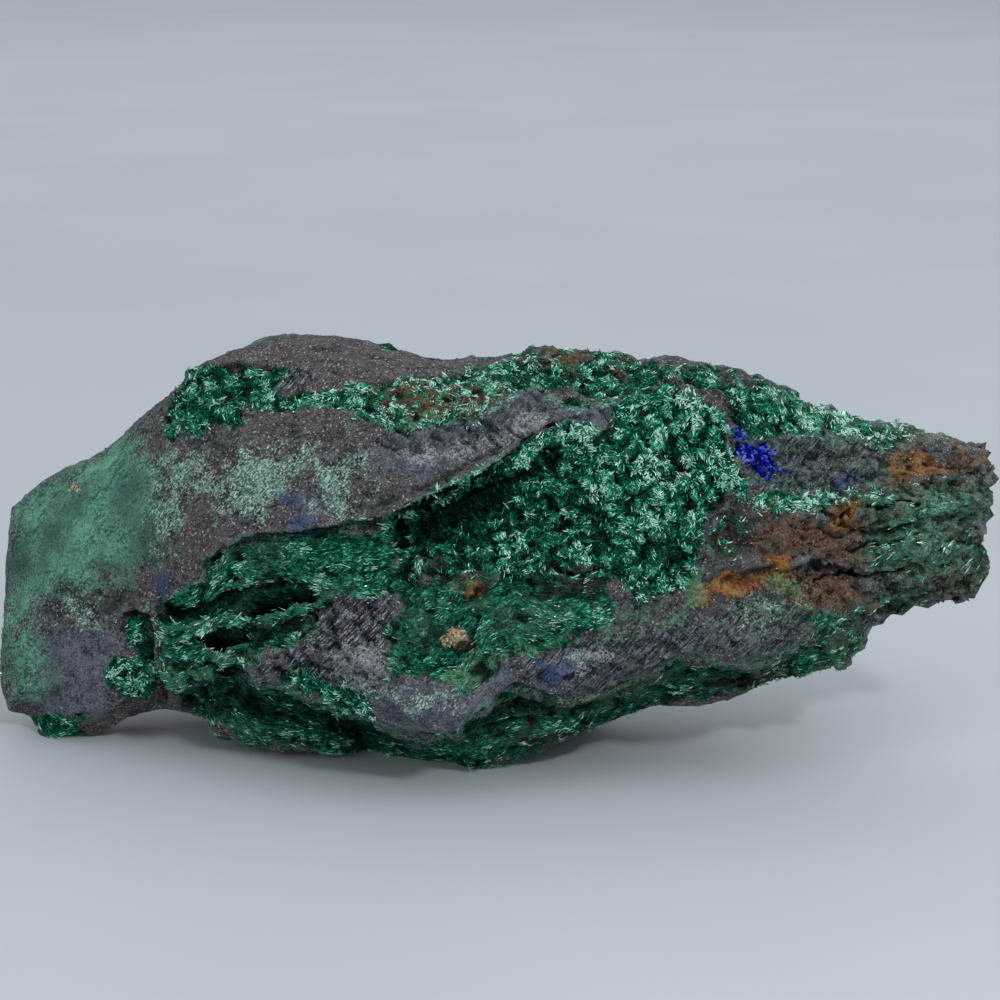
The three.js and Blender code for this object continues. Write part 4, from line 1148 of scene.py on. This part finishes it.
class RockPatterns:
    """What the rock's colours are mixed from: places, noises from 0 to 1, and the shares of its minerals."""

    def __init__(self, place):
        self.place = place
        self.share = {name: attribute(place, name) for name in PATCHES}
        # the first of these is painted shade for slots, hollows and cracks
        names = ("sunk", "lip", "ridge", "bed")
        self.sunk, self.lip, self.ridge, bed = (attribute(place, name) for name in names)
        x, y, z = (place.node("SeparateXYZ", {}, {0: place}, axis) for axis in "XYZ")

        def stretched(across, deep, up):
            return place.node("CombineXYZ", {}, {0: across, 1: deep, 2: up})

        self.bedded_place = stretched(x * 0.22, y * 0.22, bed * 1.25)
        self.scored_place = stretched((x + z) * 0.16, y * 0.3, (x - z) * 0.9)
        self.broad = blotch(place, 11, 3)
        self.middling = blotch(place, 2.6, 3)
        self.fine = blotch(place, 0.6, 3, 0.7)
        self.dots = chance_by_cell(place, 0.3)
        self.grain = self.fine * 0.6 + self.dots * 0.4
        self.coarse_grain = self.grain.ease(0.3, 0.8)
        self.streaks = blotch(self.bedded_place, 1, 3, 0.65, 0.5)
        self.brushed = blotch(self.scored_place, 1, 3, 0.6, 0.4)
        self.scored = blotch(self.scored_place.vector("MULTIPLY", (1.6, 1.6, 2.4)), 1, 3)
        self.cloth = blotch(stretched((x + z) * 0.9, y * 1.4, (x - z) * 3), 1, 2, 0.6, 0.5)
        self.mat = matted(place, 1.3, 0.3)
        self.weave = blotch(stretched(x * 0.9, y * 0.9, bed * 3.2), 1, 3, 0.6, 1)
        self.right_end = x.ease(58, 78)
        self.right_side = x.ease(34, 48)
        self.left_metal = 1 - x.ease(0, 8) * 0.65
        self.umber_place = (1 - x.ease(48, 57)) * (1 - z.ease(58, 64))
        self.green = (self.share["fibres"] + self.share["needles"]).ease(0, 1)
        self.wear = (self.middling - 0.5) * 0.8 + (self.fine - 0.5) * 0.7 + (self.dots - 0.5) * 0.2

    def edged(self, name, raggedness=0.5, low=0.38, high=0.62):
        """The share of a mineral, with a ragged and grainy edge."""
        share = self.share[name]
        return (share + self.wear * raggedness * share.ease(0, 0.25)).ease(low, high)

    def torn(self, size):
        """Blotches with torn edges."""
        return blotch(self.place, size, 3, warp=1)


def iron_colour(rock):
    """Purple-brown ironstone with warmer clouds, painted glints on single grains and green specks."""
    felt = rock.cloth * 0.4 + rock.grain * 0.6
    iron = (rock.middling * 0.5 + felt * 0.9 + rock.broad * 0.3).ease(0.62, 1.1)
    iron = iron.mix((31, 31, 37), (119, 117, 123))
    warm = felt.ease(0.3, 0.7).mix((50, 42, 41), (114, 100, 95))
    iron = ((rock.broad + rock.middling * 0.5).ease(0.62, 0.95) * 0.7).mix(iron, warm)
    # painted glints on single grains
    iron = ((rock.dots - 0.93).ease(0, 0.05) * 0.6).mix(iron, (190, 194, 198))
    specks = blotch(rock.place, 1.1, 2) + rock.middling * 0.6 + rock.fine * 0.3 + rock.right_end * 0.08
    return (specks.ease(1.0, 1.2) * 0.45).mix(iron, (84, 128, 114))


def malachite_pile(rock):
    """Where the malachite's nap stands up: a mat of needles, or fibres that keep to the beds."""
    needled = rock.share["needles"].ease(0.2, 0.8)
    pile = needled.node("Mix", {}, {0: needled, 2: rock.weave, 3: rock.mat})
    pile = pile + (rock.middling - 0.5) * 0.3 + (rock.streaks - 0.5) * 0.2
    return pile - rock.share["needles"] * 0.07


def malachite_colour(rock, pile):
    """Bright where its nap stands up, brightest there as painted glints, with dull stretches, earth and pale
    veins towards the right end.
    """
    green = pile.ease(0.36, 0.54).mix((1, 22, 17), (6, 92, 70))
    green = pile.ease(0.54, 0.66).mix(green, (62, 168, 132))
    # painted glints on the tops of the nap
    green = pile.ease(0.66, 0.76).mix(green, (200, 244, 226))
    dull = (rock.broad + rock.middling * 0.4).ease(0.58, 0.85) * (0.3 + rock.right_end * 0.3)
    dull = (dull + rock.right_end * 0.4) * (1 - rock.share["needles"] * 0.8)
    green = dull.mix(green, rock.coarse_grain.mix((46, 70, 58), (124, 154, 132)))
    earth = (rock.streaks * 0.5 + blotch(rock.place, 6, 4, warp=1)).ease(0.7, 0.87) * rock.right_end * 0.85
    green = earth.mix(green, rock.coarse_grain.mix((58, 42, 33), (152, 116, 84)))
    veins = (rock.torn(2) + rock.streaks * 0.4 + rock.fine * 0.3).ease(0.94, 1.12) * rock.right_end * 0.7
    return veins.mix(green, (118, 184, 154))


def film_colour(rock):
    """The dull green film, with grey smudges and worn spots."""
    film = rock.brushed * 0.5 + rock.middling * 0.3 + rock.grain * 0.3 + rock.broad * 0.3
    film = film.ease(0.5, 0.92).mix((48, 90, 80), (124, 188, 160))
    smudge = (rock.brushed * 0.4 + rock.middling * 0.4 + blotch(rock.place, 14, 2)).ease(0.84, 1.08)
    film = (smudge * 0.75).mix(film, (58, 78, 80))
    return ((rock.cloth + rock.grain * 0.6).ease(0.8, 0.52) * 0.6).mix(film, (42, 68, 64))


def ochre_colour(rock):
    """Limonite: orange to tan, with rust-brown streaks and green dots."""
    ochre = rock.middling * 0.8 + rock.grain * 0.5 + rock.streaks * 0.2
    ochre = ochre.ease(0.5, 0.95).mix((84, 46, 28), (176, 104, 54))
    ochre = ((rock.torn(2.2) + rock.fine * 0.3).ease(0.58, 0.74) * 0.8).mix(ochre, (158, 130, 72))
    ochre = (blotch(rock.bedded_place, 1.4, 2).ease(0.54, 0.66) * 0.75).mix(ochre, (96, 44, 30))
    return ((rock.dots - 0.8).ease(0, 0.1) * 0.5).mix(ochre, (54, 84, 66))


def brown_colour(rock):
    """Brown earth, umber left of the right end, with red patches and green streaks."""
    brown = (rock.middling * 0.5 + rock.grain * 0.9).ease(0.4, 1).mix((50, 34, 26), (142, 104, 78))
    umber = (rock.grain + rock.middling * 0.3).ease(0.6, 1).mix((14, 13, 14), (98, 86, 76))
    brown = rock.umber_place.mix(brown, umber)
    brown = (rock.torn(3.4).ease(0.52, 0.64) * 0.6).mix(brown, (84, 44, 32))
    streaks = (blotch(rock.bedded_place, 0.8, 3) + rock.fine * 0.3).ease(0.62, 0.8)
    return (streaks * 0.6).mix(brown, (70, 92, 74))


def steel_colour(rock):
    """Scored metallic rock with bright faces at the left, which are painted glints, and verdigris at the
    right.
    """
    scored = rock.scored * 1.2
    steel = (rock.grain * 0.4 + scored + rock.middling * 0.3).ease(0.72, 1.16)
    steel = steel.mix((12, 13, 19), (88, 93, 101))
    # painted glints: bright faces in the colour at the left
    faces = (scored + rock.dots * 0.2 + rock.middling * 0.3).ease(0.91, 1.03) * 0.85 * rock.left_metal
    steel = faces.mix(steel, (190, 194, 202))
    verdigris = (rock.torn(3) + rock.grain * 0.3).ease(0.56, 0.8) * (0.1 + rock.right_side * 0.65)
    return verdigris.mix(steel, rock.coarse_grain.mix((34, 58, 52), (104, 136, 120)))


def slate_colour(rock):
    slate = (rock.cloth * 0.5 + rock.grain * 0.4 + rock.middling * 0.4).ease(0.45, 0.85)
    slate = slate.mix((50, 52, 61), (120, 125, 136))
    return ((rock.brushed * 0.6 + rock.cloth * 0.5).ease(0.6, 0.76) * 0.6).mix(slate, (112, 124, 134))


def mineral_colours(rock, iron, malachite):
    """The minerals laid over each other, each where its share lies."""
    edged, share, grain, cloth, fine = rock.edged, rock.share, rock.grain, rock.cloth, rock.fine
    slate, slate_place = slate_colour(rock), edged("slate", 0.8, 0.2, 0.8)
    colour = (slate_place * 0.9).mix(iron, slate)
    colour = edged("steel", 0.8).mix(colour, steel_colour(rock))
    colour = (slate_place * share["steel"] * 0.7).mix(colour, slate)
    colour = edged("fibres", 0.7).mix(colour, malachite)
    colour = edged("needles", 0.5).mix(colour, malachite)
    colour = edged("bare", 0.6).mix(colour, iron)
    ash = (grain + rock.scored * 0.4).ease(0.4, 1).mix((50, 56, 60), (190, 196, 200))
    colour = (edged("ash", 1.2, 0.2, 0.9) * 0.8).mix(colour, ash)
    stained = edged("brown", 1.6, 0.3, 0.75)
    stained = stained.math("MAXIMUM", stained, edged("rust", 2, 0, 0.4) * 0.8)
    colour = (stained * 0.85).mix(colour, brown_colour(rock))
    colour = edged("film", 1.7, 0.05, 0.9).mix(colour, film_colour(rock))
    strewn = edged("dust", 1.6, 0.05, 1) + (cloth - 0.5) * 1.8 + (rock.middling - 0.5)
    strewn = strewn.ease(0.1, 1.15) * 0.9
    powder = (cloth * 0.8 + grain * 0.4).ease(0.48, 0.9).mix((68, 104, 94), (210, 248, 233))
    colour = (strewn * edged("dust", 1, 0.05, 0.4)).mix(colour, powder)
    colour = (edged("rust", 1.2, 0.3, 0.8) * 0.9).mix(colour, ochre_colour(rock))
    yellow = (fine * 0.7 + rock.streaks * 0.5).ease(0.4, 0.85).mix((40, 88, 62), (140, 184, 138))
    colour = (edged("lime", 2.2, 0.3, 0.8) * 0.6).mix(colour, yellow)
    azure = (fine + rock.dots * 0.3).ease(0.4, 0.9).mix((20, 28, 68), (60, 92, 150))
    colour = (edged("blue", 2.4, 0.3, 0.9) * grain.ease(0.2, 0.6) * 0.75).mix(colour, azure)
    crust = fine.ease(0.35, 0.65).mix((110, 86, 66), (226, 196, 164))
    return edged("tan", 3, 0.45, 0.7).mix(colour, crust), stained


def rims_ridges_and_painted_shade(rock, colour, stained):
    """Pale rims and ridges, crumbs at the right end, and painted shade in pits, slots, hollows and cracks
    over the minerals.
    """
    grain, fine, ridge, lip = rock.grain, rock.fine, rock.ridge, rock.lip
    pale = lip + (rock.cloth - 0.5) * 1.4 + (grain - 0.5) * 1.1 + (rock.middling - 0.5) * 0.6
    pale = pale.ease(0.4, 0.9) * lip.ease(0, 0.2)
    pale = pale.math("MAXIMUM", pale, (ridge + (fine - 0.5) * 0.5).ease(0.75, 1) * rock.green * 0.25)
    colour = (pale * 0.7).mix(colour, (104, 184, 152))
    # paler grey on ridges of bare rock
    paler_ridges = (ridge + (fine - 0.5) * 0.4).ease(0.6, 1) * (1 - rock.green) * (1 - stained)
    colour = (paler_ridges * 0.3).mix(colour, (134, 134, 138))
    crumb = chance_by_cell(rock.place, 1.5)
    colour = (crumb.ease(0.55, 1) * rock.right_end * 0.45).mix(colour, (24, 30, 26))
    colour = ((1 - crumb).ease(0.6, 1) * rock.right_end * (0.1 + fine) * 0.45).mix(colour, (152, 164, 140))
    # painted shade: pits are darkened
    painted_pit_shade = 1 - (ridge + (fine - 0.5) * 0.3).ease(0.05, 0.5)
    colour = (painted_pit_shade * 0.7).mix(colour, (10, 15, 15))
    # painted shade: slots, hollows and cracks are painted nearly black
    return rock.sunk.ease(0, 0.9).mix(colour, (1, 5, 5))


def rock_finish():
    """Ironstone with its minerals, of which only the scored steel is metallic."""
    material, shader, place = new_finish("ironstone_with_malachite")
    rock = RockPatterns(place)
    steel, fine, pile, bare = rock.share["steel"], rock.fine, malachite_pile(rock), 1 - rock.green
    colour, stained = mineral_colours(rock, iron_colour(rock), malachite_colour(rock, pile))
    rims_ridges_and_painted_shade(rock, colour, stained).into(shader, "Base Color")
    shader.inputs["Specular IOR Level"].default_value = 0.1
    metal = steel.ease(0.4, 0.8) * (rock.scored * 1.2 + rock.middling * 0.3).ease(0.8, 1)
    (metal * bare * rock.left_metal * 0.7).into(shader, "Metallic")
    gloss = 0.66 - rock.green * 0.1 - steel * 0.3 - (rock.dots - 0.85).ease(0, 0.15) * 0.3
    (gloss + (fine - 0.5) * 0.2).into(shader, "Roughness")
    height = fine * 0.6 + rock.middling * 0.5 + pile * rock.green * 1.6 + rock.cloth * bare * 0.5
    height = height + rock.scored * steel * bare * rock.left_metal * 2
    bumped(place, 1, 0.4, height, Normal=faceted(place, 0.34, 0.7)).into(shader, "Normal")
    return material


def crystal_finish(name, deep, body, light, bright, roughness):
    """Glassy crystals whose colour goes from deep to bright by their own tint, which carries painted light,
    painted shade and painted glints.
    """
    material, shader, place = new_finish(name)
    mottled = attribute(place, "tint") + (blotch(place, 0.5, 2) - 0.5) * 0.4
    colour = mottled.ease(-0.1, 0.5).mix(deep, body)
    colour = mottled.ease(0.45, 0.95).mix(colour, light)
    # painted glints: the brightest tints take the bright colour
    mottled.ease(0.95, 1.3).mix(colour, bright).into(shader, "Base Color")
    shader.inputs["Specular IOR Level"].default_value = 0.03
    shader.inputs["Coat Roughness"].default_value = 0.12
    mottled.ease(0.75, 1.2).into(shader, "Coat Weight")
    (roughness + (blotch(place, 0.25, 1) - 0.5) * 0.25).into(shader, "Roughness")
    bumped(place, 0.5, 0.05, blotch(place, 0.2, 2)).into(shader, "Normal")
    return material


def paper_finish():
    material, shader, place = new_finish("studio_paper")
    blotch(place, 120, 2).ease(0.2, 0.8).mix((196, 204, 211), (201, 209, 216)).into(shader, "Base Color")
    shader.inputs["Roughness"].default_value = 0.6
    return material


# ---- The studio ----


def lay_paper():
    """A wide sheet of paper, which fills the view from every side."""
    bpy.ops.object.select_all(action="DESELECT")
    bpy.ops.mesh.primitive_circle_add(vertices=96, radius=PAPER_RADIUS * MM, fill_type="NGON")
    paper = bpy.context.object
    paper.name = "studio_paper"
    paper.data.materials.append(paper_finish())


def hang_light(name, place, aim, size, watts, colour):
    """A soft light, as wide and high as size says, that hangs at place and shines at aim."""
    bpy.ops.object.light_add(type="AREA", location=np.array(place) * MM)
    lamp = bpy.context.object
    lamp.name = name
    lamp.data.shape = "RECTANGLE"
    lamp.data.size, lamp.data.size_y = size[0] * MM, size[1] * MM
    lamp.data.energy = watts
    lamp.data.color = colour
    lamp.rotation_euler = (Vector(aim) - Vector(place)).to_track_quat("-Z", "Y").to_euler()


def place_camera():
    bpy.ops.object.camera_add(location=face_to_part(*EYE) * MM, rotation=(math.pi / 2 - LEAN, 0, 0))
    camera = bpy.context.object
    camera.data.lens = LENS
    camera.data.sensor_width = SENSOR
    camera.data.clip_start = NEAREST_SEEN * MM
    bpy.context.scene.camera = camera


def fill_the_room():
    """Even light from all round."""
    world = bpy.data.worlds.new("room")
    bpy.context.scene.world = world
    world.use_nodes = True
    background = world.node_tree.nodes["Background"]
    background.inputs["Color"].default_value = ROOM_COLOUR
    background.inputs["Strength"].default_value = ROOM_STRENGTH
    bpy.context.scene.view_settings.view_transform = "Standard"


# ---- The specimen ----


def finished(piece, finish):
    """Gives a piece its finish, and lets it ride on the part's one body."""
    piece.data.materials.append(finish)
    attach(piece, "root")
    return piece


def grow_needles(name, ground, weight, count, seed, sizes, width, **manner):
    """A piece with fans of malachite needles on the ground. manner is given to fans."""
    sprays = fans(ground, weight, count, NEEDLES_IN_FAN, sizes, seed, **manner)
    chance = np.random.default_rng(seed + TURN_SEED)
    return stamp(name, NEEDLE, sprays, width * chance.uniform(0.6, 1.3, len(sprays[0])), chance)


def strew_grains(name, ground, weight, count, seed):
    """A piece with single grains on the ground."""
    sprays = fans(ground, weight, count, 1, GRAIN_SIZES, seed, rise=(0.2, 1.2))
    return stamp(name, GRAIN, sprays, GRAIN_WIDTH * sprays[2], np.random.default_rng(seed + TURN_SEED))


def grow_blades(name, ground, weight):
    """A piece with tufts of azurite blades."""
    tufts = (BLADE_TUFTS, BLADES_IN_TUFT, BLADE_SIZES, BLADE_SEED)
    sprays = fans(ground, weight, *tufts, rise=(0.2, 1), apart=0.3)
    return stamp(name, BLADE, sprays, BLADE_WIDTH * sprays[2], np.random.default_rng(BLADE_SEED + 1))


place_camera()
lay_paper()
for light in LIGHTS:
    hang_light(*light)
fill_the_room()

NEEDLE = crystal_model(sides=3, flatness=0.7, shoulder=0.78, root=0.12)
BLADE = crystal_model(sides=6, flatness=0.45, shoulder=0.7, root=0)
GRAIN = crystal_model(sides=3, flatness=0.8, shoulder=0.5, root=0.1)

rock = sculpt_rock()
finished(rock, rock_finish())
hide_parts("ironstone_rock")

ground = Ground(rock)
bright = bright_lines(ground)
zones = crystal_zones(ground, *bright)
shade_crystals(ground, *bright)
finishes = {name: crystal_finish(name, *colours) for name, colours in CRYSTAL_COLOURS.items()}

needles = {}
for name, zone, count, seed, manner in NEEDLE_PIECES:
    needles[name] = grow_needles(name, ground, zones[zone], count, seed, **manner)
    finished(needles[name], finishes["malachite_crystals"])
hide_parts("malachite_hollow_crust")
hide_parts("malachite_pocket_crust")

for name, zone, count, seed, slot in GRAIN_PIECES:
    finished(strew_grains(name, ground, zones[zone], count, seed), finishes[name])

blades = grow_blades("azurite_blades", ground, zones["azurite"])
finished(blades, finishes["azurite_crystals"])
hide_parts("azurite_crystals")
